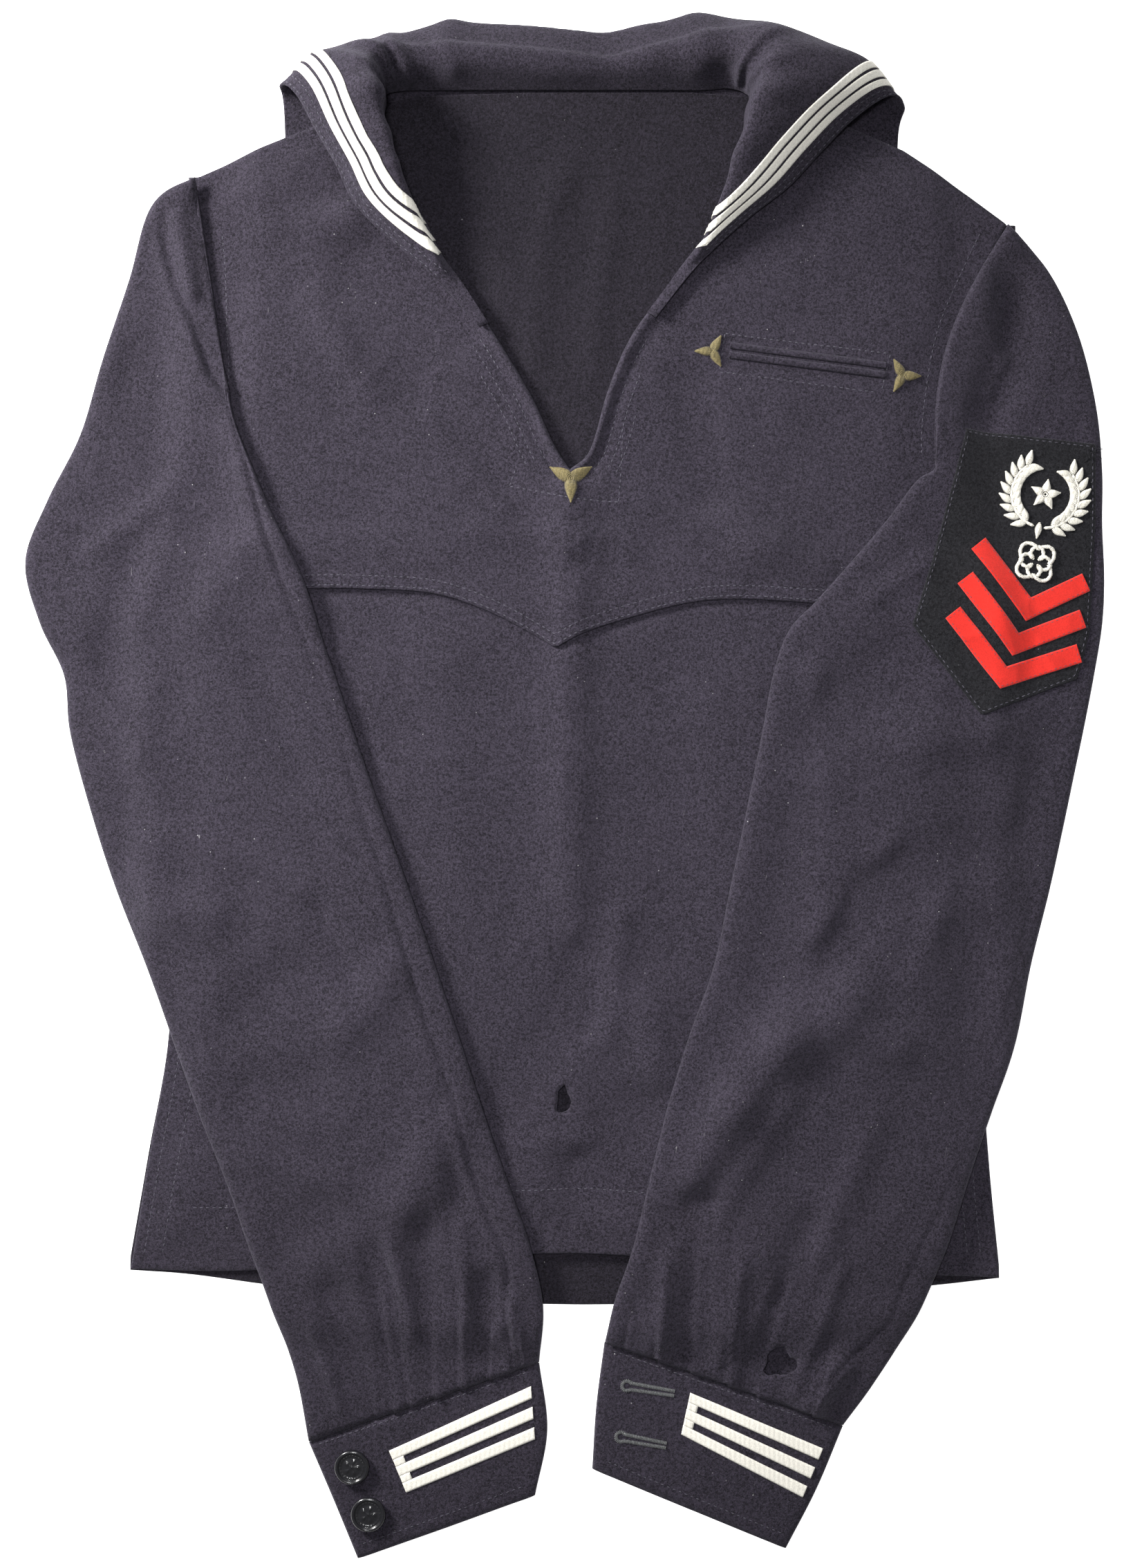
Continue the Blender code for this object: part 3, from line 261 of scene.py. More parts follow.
SLEEVE_CREASES = [
    Fold(-190, 281, -182, 244, 4, 0.8), Fold(-228, 120, -190, 150, 7, 0.8), Fold(-236, 62, -208, 20, 8, 0.9),
    Fold(-150, 60, -128, 10, 9, -0.8), Fold(-190, -20, -130, -44, 8, 0.7),
    Fold(-120, -60, -100, -100, 7, -0.7),
    Fold(-168, -172, -112, -190, 8, 0.8), Fold(-60, -150, -52, -196, 6, -0.9),
    Fold(-86, -216, -74, -262, 4, 0.7),
    Fold(-50, -212, -48, -256, 4, 0.7), Fold(-124, -262, -110, -300, 4, 0.7),
    Fold(-29, -264, -26, -276, 3, -0.8),
    Fold(214, 210, 208, 196, 4, 0.9), Fold(150, 96, 176, 112, 6, 0.7), Fold(226, 40, 214, -20, 8, 0.7),
    Fold(120, 60, 128, 0, 8, 0.7), Fold(160, -20, 120, -70, 6, 0.8), Fold(190, -30, 170, -90, 7, 0.7),
    Fold(108, -150, 70, -210, 7, 0.9), Fold(150, -160, 124, -220, 8, 0.8), Fold(86, -226, 76, -276, 4, 0.7),
    Fold(48, -228, 46, -266, 4, 0.8), Fold(134, -232, 112, -292, 4, 0.7), Fold(102, -236, 84, -284, 3.5, 0.7),
]
SHADER = "Principled BSDF"
SOFT = {"interpolation_type": "SMOOTHSTEP"}
COLOURS = {"data_type": "RGBA"}
# The large soft lamps: place and size in metres, share of the key light's power, and colour
SOFT_LAMPS = {"key": ((-0.88, 0.60, 0.52), 0.32, 1.0, "#FFFDFA"),
              "top": ((0.15, 1.35, 1.0), 0.8, 0.15, "#FCFDFF")}
# The lamp above the middle: place and softness in metres, and the angle of its cone
GLOW_PLACE, GLOW_SOFT, GLOW_ANGLE = (-0.10, 0.10, 1.2), 0.08, radians(46)
SENSOR = 24.0        # height of the camera's sensor, in millimetres
FLOOR_REACH, FLOOR_LOW = 2500, 0.05   # half the side of the white surface, and how far it lies below zero


def per_mm(size):
    """The scale of a pattern whose grain has a size in millimetres: how many fit in a metre."""
    return 1000 / size


# Grains of the finishes. Melton: its fibres, its nap, a slow unevenness, and where lint clings
MELTON_GRAIN = ({"Scale": per_mm(0.67), "Detail": 4.0, "Roughness": 0.7, "Distortion": 1.2},
                {"Scale": per_mm(1.3), "Detail": 3.0, "Roughness": 0.6, "Distortion": 0.6},
                {"Scale": per_mm(36), "Detail": 3.0, "Roughness": 0.55}, {"Scale": per_mm(71), "Detail": 3.0})
LINT_WISPS = {"Scale": per_mm(2.3), "Roughness": 0.5, "Distortion": 2.5}
LINT_DOTS = ((per_mm(3.3), 0.10, 0.10), (per_mm(8.3), 0.05, 0.16))     # cells, a dot's reach, share of cells
THREAD_GRAIN = ({"Scale": per_mm(0.56), "Detail": 3.0, "Roughness": 0.6},
                {"Scale": per_mm(17), "Detail": 4.0, "Roughness": 0.6})
FELT_GRAIN = ({"Scale": per_mm(0.77), "Detail": 4.0, "Roughness": 0.7, "Distortion": 1.5},
              {"Scale": per_mm(8.3), "Detail": 3.0, "Roughness": 0.6})
BUTTON_GRAIN = ({"Scale": per_mm(4.2), "Detail": 5.0, "Roughness": 0.65},
                {"Scale": per_mm(1.1), "Roughness": 0.5})
PAPER_GRAIN = {"Scale": per_mm(111), "Roughness": 0.5}
PAPER_GLOW = 0.74    # light that the paper adds itself, so that it comes out white
TAPE_CLEAR = 0.45    # how far the middle of a tape stays above the surface where it turns under
SLEEVE_DIP = 2.8     # the deepest that a fold sinks into a sleeve
FRONT_RISE = 2.2     # the air between the back and the front
PLEAT_HEIGHT, PLEAT_GROOVE = 2.25, 1.05      # how high a pressed pleat stands, and the groove at its foot
# Pressed pleats that run up from the cuffs, each from its upper to its lower end
PLEATS = [
    ((-112, -250), (-105, -266), (-97, -278.5), (-92.6, -304)), ((-87, -246), (-80, -266), (-76, -296)),
    ((-64.3, -236), (-64.3, -296)), ((-30, -244), (-36.5, -264), (-37.5, -286)), ((-24, -254), (-20.8, -280)),
    ((-102, -209), (-90, -240), (-84, -292)), ((-52, -226), (-51, -292)),
    ((66, -198), (63.5, -241), (61, -286)), ((119, -207), (107, -243), (92, -296)), ((33, -244), (29, -274)),
    ((84, -216), (78, -292)), ((47, -226), (44, -280)), ((134, -262), (120, -304)),
]
# The collar's ends, which run out narrow along the V neck
COLLAR_TAILS = (
    Roll((-38, 229, 10.2), (-38.8, 228.6, 10.9), (-39.8, 228.1, 11.3), (-40.8, 227.6, 11.3),
         (-41.8, 227.1, 10.9)),
    Roll((40, 234, 10.2), (40.8, 233.5, 10.9), (41.8, 233, 11.3), (42.8, 232.4, 11.3), (43.8, 231.8, 10.9)),
)
# Soft lumps of the neck roll: row of the collar's table, half width in rows, and height
COLLAR_LUMPS = [(3.7, 0.25, 1.2), (4.6, 0.3, 1.9), (5.7, 0.28, 2.4), (6.9, 0.34, 2.6), (8.0, 0.25, 2.4),
                (9.1, 0.22, 1.8), (10.3, 0.25, 1.7), (12.6, 0.4, 1.3), (14.8, 0.35, 1.3), (17.0, 0.3, 2.0),
                (18.4, 0.28, 1.8), (19.6, 0.3, 1.4), (21.2, 0.3, 1.2)]
# Rows of stitches around the foot of the V neck, and around the pocket
PLACKET_ROWS = [
    ((-27.5, 150.3), (-10.3, 147.0), (3.0, 143.8), (25.8, 142.1)),
    ((25.8, 142.1), (27.2, 160), (27.8, 178.5)), ((-27.5, 150.3), (-24.5, 158.5)),
]
POCKET_ROWS = [
    ((77.8, 224.7), (158.4, 214.5)), ((75.1, 206.0), (153.9, 195.5)), ((77.8, 224.7), (75.1, 206.0)),
    ((158.4, 214.5), (153.9, 195.5)),
]
# The buttons' profile from the back to the middle of the face: radius and height, each as a share
BUTTON_PROFILE = [
    (0.02, 0.0), (0.6, 0.02), (0.9, 0.15), (1.0, 0.5), (0.97, 0.86), (0.88, 1.0), (0.8, 0.9), (0.75, 0.72),
    (0.66, 0.74), (0.56, 0.66), (0.3, 0.74), (0.02, 0.78),
]

# The line of the seam that runs beside the fold of the right sleeve, and beside that of the left one
SEAM_RIGHT = [
    Point(-196, 290), Point(-198, 277), Point(-191, 248), Point(-182, 229), Point(-173, 203),
    Point(-163, 190),
    Point(-155, 162), Point(-146, 127), Point(-132, 88), Point(-119, 56), Point(-109, 30), Point(-103, 5),
    Point(-89, -39), Point(-79, -73), Point(-68, -110), Point(-56, -145), Point(-44, -188), Point(-35, -211),
    Point(-28, -230), Point(-30, -250), Point(-27, -268),
]
SEAM_LEFT = [
    Point(259, 132), Point(256, 76), Point(250, 23), Point(244, 5), Point(235, -34), Point(226, -61),
    Point(216, -105), Point(207, -136), Point(198, -165), Point(189, -188), Point(174, -218),
    Point(164, -241),
    Point(158, -258), Point(138, -276), Point(125, -290),
]


def xy(points):
    """A list of points as an array."""
    return np.array([(p.x, p.y) for p in points], float)


def shift():
    """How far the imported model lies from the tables' own origin, from a button's place in both."""
    low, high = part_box("button_upper")
    middle = [(low[k] + high[k]) / 2 / MM for k in range(2)]
    return np.array([middle[0] - BUTTONS[0].x, middle[1] - BUTTONS[0].y, 0.0])


SHIFT = shift()


def smooth(t):
    """0 to 1 with a soft start and end: 3 t squared less 2 t cubed."""
    t = np.clip(t, 0.0, 1.0)
    return t * t * (3 - 2 * t)


def spline(rows, count):
    """A smooth curve through rows of numbers by Catmull and Rom's formula, count steps between two rows."""
    rows = np.asarray(rows, float)
    padded = np.vstack([2 * rows[0] - rows[1], rows, 2 * rows[-1] - rows[-2]])
    a, b, c, d = padded[:-3, None], padded[1:-2, None], padded[2:-1, None], padded[3:, None]
    t = (np.arange(count) / count)[None, :, None]
    curve = 0.5 * (2 * b + (c - a) * t + (2 * a - 5 * b + 4 * c - d) * t**2 + (3 * b - a - 3 * c + d) * t**3)
    return np.vstack([curve.reshape(-1, rows.shape[1]), rows[-1:]])


def along(points, x):
    """The height y of a line of points that runs from left to right, at x."""
    line = xy(points)
    return np.interp(x, line[:, 0], line[:, 1])


def curved(points, x):
    """The same on the smooth curve through the points."""
    line = spline(xy(points), 6)
    return np.interp(x, line[:, 0], line[:, 1])


def pointed(x):
    """The yoke's lower edge at x: two smooth curves that meet in its point."""
    tip = min(range(len(YOKE_EDGE)), key=lambda k: YOKE_EDGE[k].y)
    left, right = spline(xy(YOKE_EDGE[:tip + 1]), 6), spline(xy(YOKE_EDGE[tip:]), 6)
    line = np.vstack([left, right[1:]])
    return np.interp(x, line[:, 0], line[:, 1])


def side(y, name):
    """The body's left or right edge at y."""
    line = spline([(row.y, getattr(row, name)) for row in SIDES], 6)
    return np.interp(y, line[:, 0], line[:, 1])


def rough_side(y, name):
    """The same edge between straight lines, as the part has it."""
    return np.interp(y, [row.y for row in SIDES], [getattr(row, name) for row in SIDES])


def inside_by(x, y):
    """How far a place lies inside the body's outline, roughly, and below zero outside it."""
    across = np.minimum(x - rough_side(y, "left"), rough_side(y, "right") - x)
    return np.minimum(across, np.minimum(y - along(BACK_HEM, x), along(SHOULDERS, x) - y))


def bell(off, width):
    """A bell curve: 1 in the middle, and e to the power minus 1 where off is its half width."""
    return np.exp(-(off / width) ** 2)


def distances(line):
    """How far along a line of points each of them lies."""
    return np.concatenate([[0], np.cumsum(np.linalg.norm(np.diff(line, axis=0), axis=1))])


def line_length(line):
    """The length of a line of points."""
    return float(distances(np.asarray(line, float))[-1])


def off_line(x, y, x0, y0, x1, y1):
    """How far a place lies from a straight line between two points."""
    dx, dy = x1 - x0, y1 - y0
    t = np.clip(((x - x0) * dx + (y - y0) * dy) / (dx * dx + dy * dy), 0, 1)
    return np.hypot(x - x0 - t * dx, y - y0 - t * dy)


def fold_height(folds, x, y):
    """The sum of the folds' soft ridges and troughs: each a bell curve across its line."""
    return sum(f.height * bell(off_line(x, y, f.x0, f.y0, f.x1, f.y1), f.width) for f in folds)


def off_chain(line, x, y):
    """How far a place lies from a line of points."""
    nearest = np.full(np.shape(x), 1e9)
    for start, end in zip(line[:-1], line[1:]):
        nearest = np.minimum(nearest, off_line(x, y, *start, *end))
    return nearest


def groove(line, x, y, width, depth):
    """A narrow trough along a line, which is what a sewn seam draws in: a bell curve below zero."""
    return -depth * bell(off_chain(line, x, y), width)


def ripples(x, y, seed, size):
    """Slow uneven waves with no direction: eight sine waves with turned and shifted crests."""
    random = np.random.default_rng(seed)
    total = np.zeros(np.shape(x))
    for _ in range(8):
        angle, phase = random.uniform(0, pi), random.uniform(0, 2 * pi)
        long = size * random.uniform(0.7, 1.6)
        total = total + np.sin((x * np.cos(angle) + y * np.sin(angle)) * 2 * pi / long + phase)
    return total / 4


def creased(x, y, seed, size):
    """Uneven waves with narrow crests, as pressed cloth has: the sum of waves, bent by slower ones."""
    bend = 0.35 * size * ripples(x, y, seed + 50, size * 2.2)
    wave = ripples(x + bend, y - bend, seed, size)
    return 1.2 - 2.4 * np.sqrt(np.abs(wave) + 0.02) / 1.3


def back_base(x, y):
    """The underside of the back: on the surface, and lifted where the collar's fall lies beneath it."""
    inward = np.minimum(np.minimum(x - BACK_FALL.left, BACK_FALL.right - x), y - BACK_FALL.y)
    thick = CLOTH + LAYER_GAP + ROLL_LIFT * smooth((y - 250) / 50)
    return thick * smooth((inward + SLOPE) / (SLOPE - PLATEAU))


def front_base(x, y):
    """The underside of the front, on the back, with the body's folds."""
    rise = FRONT_RISE + fold_height(BODY_FOLDS, x, y)
    fade = smooth(inside_by(x, y) / 25)
    return back_base(x, y) + CLOTH + LAYER_GAP + np.maximum(rise * fade, 0)


def yoke_base(x, y):
    """The underside of the yoke, which lies over the top of the lower front."""
    over = smooth((along(YOKE_EDGE, x) + YOKE_OVERLAP + 28 - y) / 20)
    return front_base(x, y) + (CLOTH + LAYER_GAP) * over


def body_top(x, y):
    """What the sleeves lie on: the top of the body, which comes down to the surface outside its outline."""
    covered = smooth((inside_by(x, y) + SLOPE) / (SLOPE - PLATEAU))
    near = smooth((y - along(YOKE_EDGE, x) + 30) / 24)
    top = front_base(x, y) + near * (yoke_base(x, y) - front_base(x, y)) + CLOTH + SLEEVE_GAP
    return top * covered


def crowded(length, step):
    """Places from 0 to 1 along a length, about one step apart and closer at both ends."""
    lip = np.array([p for p in LIP if p < length / 2])
    count = max(2, int(round((length - 2 * lip[-1]) / step)) + 1)
    middle = np.linspace(lip[-1], length - lip[-1], count)
    return np.concatenate([lip[:-1], middle, length - lip[-2::-1]]) / length


def edge_drop(distance, deep=0.8, reach=EDGE_ROUND):
    """How far a turned edge lies below the cloth beside it: a quarter circle, distance in from the edge."""
    t = np.clip(1 - distance / reach, 0, 1)
    return deep * (1 - np.sqrt(1 - 0.98 * t * t))


def link(mesh, name, finish):
    """An object for a mesh, with its finish, in the scene."""
    piece = bpy.data.objects.new(name, mesh)
    bpy.context.scene.collection.objects.link(piece)
    if finish is not None:
        mesh.materials.append(finish)
    return piece


def give_wall(piece, thickness, offset=-1):
    """Gives an open surface its thickness: offset -1 puts it behind the face, 0 spreads it to both sides."""
    wall = piece.modifiers.new("wall", "SOLIDIFY")
    wall.thickness, wall.offset, wall.use_even_offset = thickness * MM, offset, False
    return piece


def mesh_of(name, points, faces, uv=None, smooth_shaded=True):
    """A mesh from arrays: points in the tables' millimetres, faces as rows of corners of one count."""
    mesh = bpy.data.meshes.new(name)
    points = (np.asarray(points, float).reshape(-1, 3) + SHIFT) * MM
    faces = np.asarray(faces, np.int64)
    mesh.vertices.add(len(points))
    mesh.vertices.foreach_set("co", points.astype(np.float32).ravel())
    mesh.loops.add(faces.size)
    mesh.loops.foreach_set("vertex_index", faces.astype(np.int32).ravel())
    mesh.polygons.add(len(faces))
    mesh.polygons.foreach_set("loop_start", np.arange(0, faces.size, faces.shape[1], dtype=np.int32))
    mesh.polygons.foreach_set("use_smooth", np.full(len(faces), smooth_shaded))
    if uv is not None:
        layer = mesh.uv_layers.new(name="cloth")
        layer.data.foreach_set("uv", np.asarray(uv, np.float32).reshape(-1, 2)[faces.ravel()].ravel())
    mesh.update(calc_edges=True)
    mesh.validate()
    return mesh


def grid_faces(rows, columns, closed=False):
    """The corners of each cell of a grid numbered row by row. closed joins the last column to the first."""
    i, j = np.meshgrid(np.arange(rows - 1), np.arange(columns if closed else columns - 1), indexing="ij")
    i, j = i.ravel(), j.ravel()
    k = (j + 1) % columns
    return np.column_stack([i * columns + j, i * columns + k, (i + 1) * columns + k, (i + 1) * columns + j])


def facing(points, faces, out):
    """Faces turned so that the first third of them, taken together, look along out."""
    p = points.reshape(-1, 3)
    some = faces[: max(1, len(faces) // 3)]
    normal = np.cross(p[some[:, 1]] - p[some[:, 0]], p[some[:, 2]] - p[some[:, 0]])
    return faces if (normal.sum(axis=0) @ np.asarray(out, float)) > 0 else faces[:, ::-1]


def laid_flat(grid):
    """Where each point of a grid lies on the cloth before it was draped, in metres: how far along the middle
    row and the middle column."""
    rows, columns = grid.shape[:2]
    across, down = distances(grid[rows // 2]), distances(grid[:, columns // 2])
    return np.stack(np.meshgrid(across, down), axis=-1) * MM


def cloth(name, grid, finish, holes=()):
    """A sheet of cloth with moth holes on a grid of points, which are its upper side."""
    flat = grid.reshape(-1, 3).copy()
    faces = facing(grid, grid_faces(*grid.shape[:2]), (0, 0, 1))
    faces = pierced(flat, faces, holes, np.full(len(flat), True))
    return give_wall(link(mesh_of(name, flat, faces, laid_flat(grid)), name, finish), CLOTH)


def pierced(flat, faces, holes, able):
    """The cells left around moth holes. One goes where its middle lies in a hole and its corners are able to
    go, and the corners around the hole move to its ragged outline."""
    for centre, wide, tall in holes:
        dx, dy = (flat[faces].mean(axis=1)[:, :2] - centre).T
        inside = able[faces].all(axis=1) & (ragged(dx, dy, wide, tall) < 1)
        edge = np.intersect1d(faces[inside].ravel(), faces[~inside].ravel())
        faces = faces[~inside]
        away = flat[edge, :2] - centre
        flat[edge, :2] = centre + away / np.maximum(ragged(*away.T, wide, tall), 0.2)[:, None]
    return faces


def ragged(dx, dy, wide, tall):
    """How far out a place lies in a moth hole, where 1 is its ragged outline."""
    angle = np.arctan2(dy * wide, dx * tall)
    reach = 1 + 0.16 * np.cos(3 * angle + 1) + 0.1 * np.cos(5 * angle) + 0.05 * np.sin(11 * angle)
    return np.hypot(dx / (wide / 2), dy / (tall / 2)) / reach


def body_folds(x, y):
    """The folds of the front and yoke beyond the part's own: creases, slow waves and the pressed centre."""
    fine = (3.0 * fold_height(BODY_CREASES, x, y) + 1.7 * fold_height(BODY_FOLDS, x, y)
            + 0.9 * ripples(x, y, 3, 70) + 0.4 * creased(x, y, 5, 36))
    room = np.clip(2.0 + fold_height(BODY_FOLDS, x, y), 0.1, None)
    fine = np.where(fine < 0, -room * np.tanh(-fine / room), fine)
    reach = smooth((150 - y) / 20) * smooth((y + 70) / 60)
    pressed = -0.7 * bell(x - 3 - 1.2 * np.sin(y / 17), 1.3) * reach
    return (fine + pressed) * smooth(inside_by(x, y) / 18)


def front_top(x, y):
    """The upper side of the finished front, drawn in a little along the edge of the yoke."""
    drawn_in = -0.9 * bell(y - pointed(x) + 1.6, 2.0)
    return front_base(x, y) + CLOTH + body_folds(x, y) + drawn_in


def v_neck(count):
    """The neckline's two halves below the shoulders, as smooth lines that meet at its foot."""
    half = len(NECKLINE) // 2
    return [spline(xy(points), count) for points in (NECKLINE[5:half + 1], NECKLINE[half:15])]


def beside_pocket(apart):
    """The lines that run apart from the pocket's middle, above and below it."""
    line = xy(POCKET)
    run = line[1] - line[0]
    down = np.array([run[1], -run[0]]) / np.linalg.norm(run) * apart
    return [line - down, line + down]


def rim(x, y):
    """The bound edge along both sides of the V neck, a soft ridge with a line drawn in beside it, and the
    lines drawn in beside the pocket."""
    total = 0.0
    for line in v_neck(3):
        total = total - groove(beside_line(line, -1.8), x, y, 2.6, 1.1)
        total = total + groove(beside_line(line, -6.4), x, y, 1.7, 0.9)
    return total + sum(groove(line, x, y, 1.6, 0.7) for line in beside_pocket(WELT_WIDTH + 0.8))


def yoke_top(x, y):
    """The upper side of the finished yoke."""
    return yoke_base(x, y) + CLOTH + body_folds(x, y) + rim(x, y)


def front_grid():
    """Rows from the hem to beneath the yoke, columns from side to side, both closer at the edges."""
    us, vs = crowded(PANEL_WIDE, GRID), crowded(FRONT_TALL, GRID)
    u, v = np.meshgrid(us, vs)
    guess = -230 + v * 320
    x = side(guess, "left") * (1 - u) + side(guess, "right") * u
    low, high = curved(FRONT_HEM, x), pointed(x) + YOKE_OVERLAP
    y = low + (high - low) * v
    z = front_top(x, y)
    distance = np.minimum(np.minimum(u, 1 - u) * PANEL_WIDE, v * FRONT_TALL)
    return np.stack([x, y, z - edge_drop(distance)], axis=-1)


def back_grid():
    """Rows from the hem to the neck, columns from side to side."""
    us, vs = crowded(PANEL_WIDE, BACK_STEP), crowded(BACK_TALL, BACK_STEP)
    u, v = np.meshgrid(us, vs)
    guess = -240 + v * 545
    x = armhole(guess, "left") * (1 - u) + armhole(guess, "right") * u
    low, high = curved(BACK_HEM, x), along(SHOULDERS, x)
    y = low + (high - low) * v
    neck = smooth((60 - np.abs(x)) / 40) * smooth((y - 60) / 60) * smooth((330 - y) / 40)
    waves = fold_height(BACK_FOLDS, x, y) * neck
    z = back_base(x, y) + CLOTH + np.maximum(waves, -0.3)
    distance = np.minimum(np.minimum(u, 1 - u) * PANEL_WIDE, v * BACK_TALL)
    return np.stack([x, y, z - edge_drop(distance)], axis=-1)


def yoke_grid():
    """Rows around the neck from one shoulder to the other, columns from the neckline out to the armhole and
    the lower edge. The two lines are walked in step, and the first and last rows follow the shoulders."""
    half = len(NECKLINE) // 2
    neck = np.vstack([spline(xy(NECKLINE[:half + 1]), 8), spline(xy(NECKLINE[half:]), 8)[1:]])
    edge_x = np.linspace(YOKE_EDGE[0].x, YOKE_EDGE[-1].x, 160)
    lower = np.column_stack([edge_x, pointed(edge_x)])
    up = np.linspace(302, YOKE_EDGE[0].y, 60)[:-1]
    down = np.linspace(YOKE_EDGE[-1].y, 279, 60)[1:]
    outer = np.vstack([np.column_stack([armhole(up, "left"), up]), lower,
                       np.column_stack([armhole(down, "right"), down])])
    tip = len(up) + int(np.argmin(lower[:, 1]))
    rows = 141
    inner_line = np.vstack([walked(neck[:8 * half + 1], rows), walked(neck[8 * half:], rows)[1:]])
    outer_line = np.vstack([walked(outer[:tip + 1], rows), walked(outer[tip:], rows)[1:]])
    shares = crowded(YOKE_DEEP, GRID)
    t = shares[None, :, None]
    plan = inner_line[:, None] * (1 - t) + outer_line[:, None] * t
    u = np.linspace(0, 1, len(plan))[:, None, None]
    for which, weight, points in ((0, (1 - u) ** 9, SHOULDERS[:3][::-1]), (-1, u ** 9, SHOULDERS[-4:-1])):
        ends = np.vstack([inner_line[which], xy(points), outer_line[which]])
        plan = plan + weight * (chain(ends, shares) - plan[which])[None]
    x, y = plan[..., 0], plan[..., 1]
    reach = np.linalg.norm(outer_line - inner_line, axis=1)[:, None]
    from_neck = t[..., 0] * reach
    distance = np.minimum(t[..., 0], 1 - t[..., 0]) * reach
    facing_edge = 1.1 * bell(from_neck - 2.6, 2.2) - 0.35 * bell(from_neck - 6.6, 1.1)
    beside_neck = smooth((262 - y) / 20)
    z = yoke_top(x, y) + facing_edge * beside_neck
    return np.stack([x, y, z - edge_drop(distance)], axis=-1)


def armhole(y, name):
    """The body's side edge, drawn a little under the sleeve above its lower part."""
    out = ARMHOLE_UNDER * smooth((y - 120) / 30) * (1 if name == "right" else -1)
    return side(y, name) + out


def walked(line, count):
    """Evenly spaced points along a line."""
    length = distances(line)
    wanted = np.linspace(0, length[-1], count)
    return np.column_stack([np.interp(wanted, length, line[:, k]) for k in range(line.shape[1])])


def rounded(distance, reach):
    """A quarter circle: 0 at an edge, and 1 from reach inwards."""
    return np.sqrt(1 - (1 - np.clip(distance / reach, 0, 1)) ** 2)


def lens(near, width):
    """The height of a flattened tube as a share: round at both folds and a little fuller in the middle. near
    is the distance from the nearer fold."""
    return 0.78 * rounded(near, FOLD_ROUND) + 0.22 * smooth(2 * near / width)


def tube_grid(spans, base, height, steps, around, lift):
    """Rings around a flattened tube: over its upper half from the outer to the inner fold, and back below.
    lift gives the folds and seams of the upper half. Gives the grid and the number of upper columns."""
    rows = spline(np.array(spans, float), steps)
    turn = np.linspace(0, pi, around + 1)
    u = 0.6 * (1 - np.cos(turn)) / 2 + 0.4 * turn / pi
    outer, inner = rows[:, None, :2], rows[:, None, 2:4]
    place = outer + u[None, :, None] * (inner - outer)
    x, y = place[..., 0] + rows[:, 4:5] * np.sin(pi * u), place[..., 1]
    width = np.linalg.norm(inner - outer, axis=2)
    middle = rows[:, :4].reshape(-1, 2, 2).mean(axis=1)
    length = distances(middle)
    end = np.minimum(length, length[-1] - length)[:, None]
    swell = lens(np.minimum(u, 1 - u) * width, width) * (0.62 + 0.38 * rounded(end, EDGE_ROUND)) * height / 2
    half = base(x, y) + height / 2
    soft = smooth(np.minimum(u, 1 - u) * 6)
    upper = np.stack([x, y, half + swell + lift(x, y) * soft], axis=-1)
    lower = np.stack([x, y, half - swell], axis=-1)
    return np.concatenate([upper, lower[:, -2:0:-1]], axis=1), around + 1


def tube_cloth(name, grid, upper_count, finish, holes=()):
    """The closed wall of a tube, open at both ends, with moth holes in its upper half."""
    rows, columns = grid.shape[:2]
    flat = grid.reshape(-1, 3).copy()
    faces = grid_faces(rows, columns, closed=True)
    faces = pierced(flat, faces, holes, np.arange(len(flat)) % columns < upper_count)
    p = flat[faces]
    height = p[..., 2].mean(axis=1)
    normal = np.cross(p[:, 1] - p[:, 0], p[:, 2] - p[:, 0])
    if normal[height > np.median(height), 2].sum() < 0:
        faces = faces[:, ::-1]
    return give_wall(link(mesh_of(name, flat, faces), name, finish), CLOTH * 0.7)


def beside(line, x, y):
    """How far a place lies to the right of a line that runs down the page, measured level."""
    points = spline(xy(line), 4)
    order = np.argsort(points[:, 1])
    return x - np.interp(y, points[order, 1], points[order, 0])


def pleated(pleats, x, y):
    """Pressed pleats that run up from a cuff: each a narrow step with a groove at its foot, and fades out."""
    total = np.zeros(np.shape(x))
    for points in pleats:
        line = np.array(points, float)[::-1]
        off = x - np.interp(y, line[:, 1], line[:, 0])
        fade = smooth((line[-1, 1] - y) / (0.6 * (line[-1, 1] - line[0, 1])))
        ridge = PLEAT_HEIGHT * smooth((off + 0.9) / 1.8) * np.exp(-np.clip(off, 0, None) / 5.5)
        total = total + fade * (ridge - PLEAT_GROOVE * bell(off + 1.1, 1.1))
    return total


def sleeve_lift(x, y):
    """Folds, creases, pleats and slow waves of both sleeves."""
    folds = (3.0 * fold_height(SLEEVE_FOLDS, x, y) + 2.6 * fold_height(SLEEVE_CREASES, x, y)
             + 0.9 * ripples(x, y, 11, 75) + 0.42 * creased(x, y, 12, 34))
    folds = np.where(folds < 0, -SLEEVE_DIP * np.tanh(-folds / SLEEVE_DIP), folds)
    folds = folds + pleated(PLEATS, x, y)
    return np.where(folds < 0, folds * (0.35 + 0.65 * smooth((y + 290) / 50)), folds)


def right_lift(x, y):
    """The right sleeve's relief: folds, the sewn seam beside the inner fold, and the drop inside its head."""
    past = beside(SEAM_RIGHT, x, y)
    seam = groove(spline(xy(SEAM_RIGHT), 2), x, y, 1.9, 2.1)
    seam = seam + 1.1 * smooth((10 + past) / 10) * smooth((1 - past) / 2)
    return sleeve_lift(x, y) + seam - 1.7 * smooth(past / 3) * smooth((y - 150) / 30)


def left_lift(x, y):
    """The left sleeve's relief: its folds and the sewn seam beside the outer fold."""
    past = beside(SEAM_LEFT, x, y)
    seam = groove(spline(xy(SEAM_LEFT), 2), x, y, 1.8, 1.6)
    return sleeve_lift(x, y) + seam + 0.6 * smooth((past + 8) / 8) * smooth(1 - past / 2)


def on_floor(x, y):
    """The surface that the jumper lies on."""
    return np.zeros(np.shape(x))


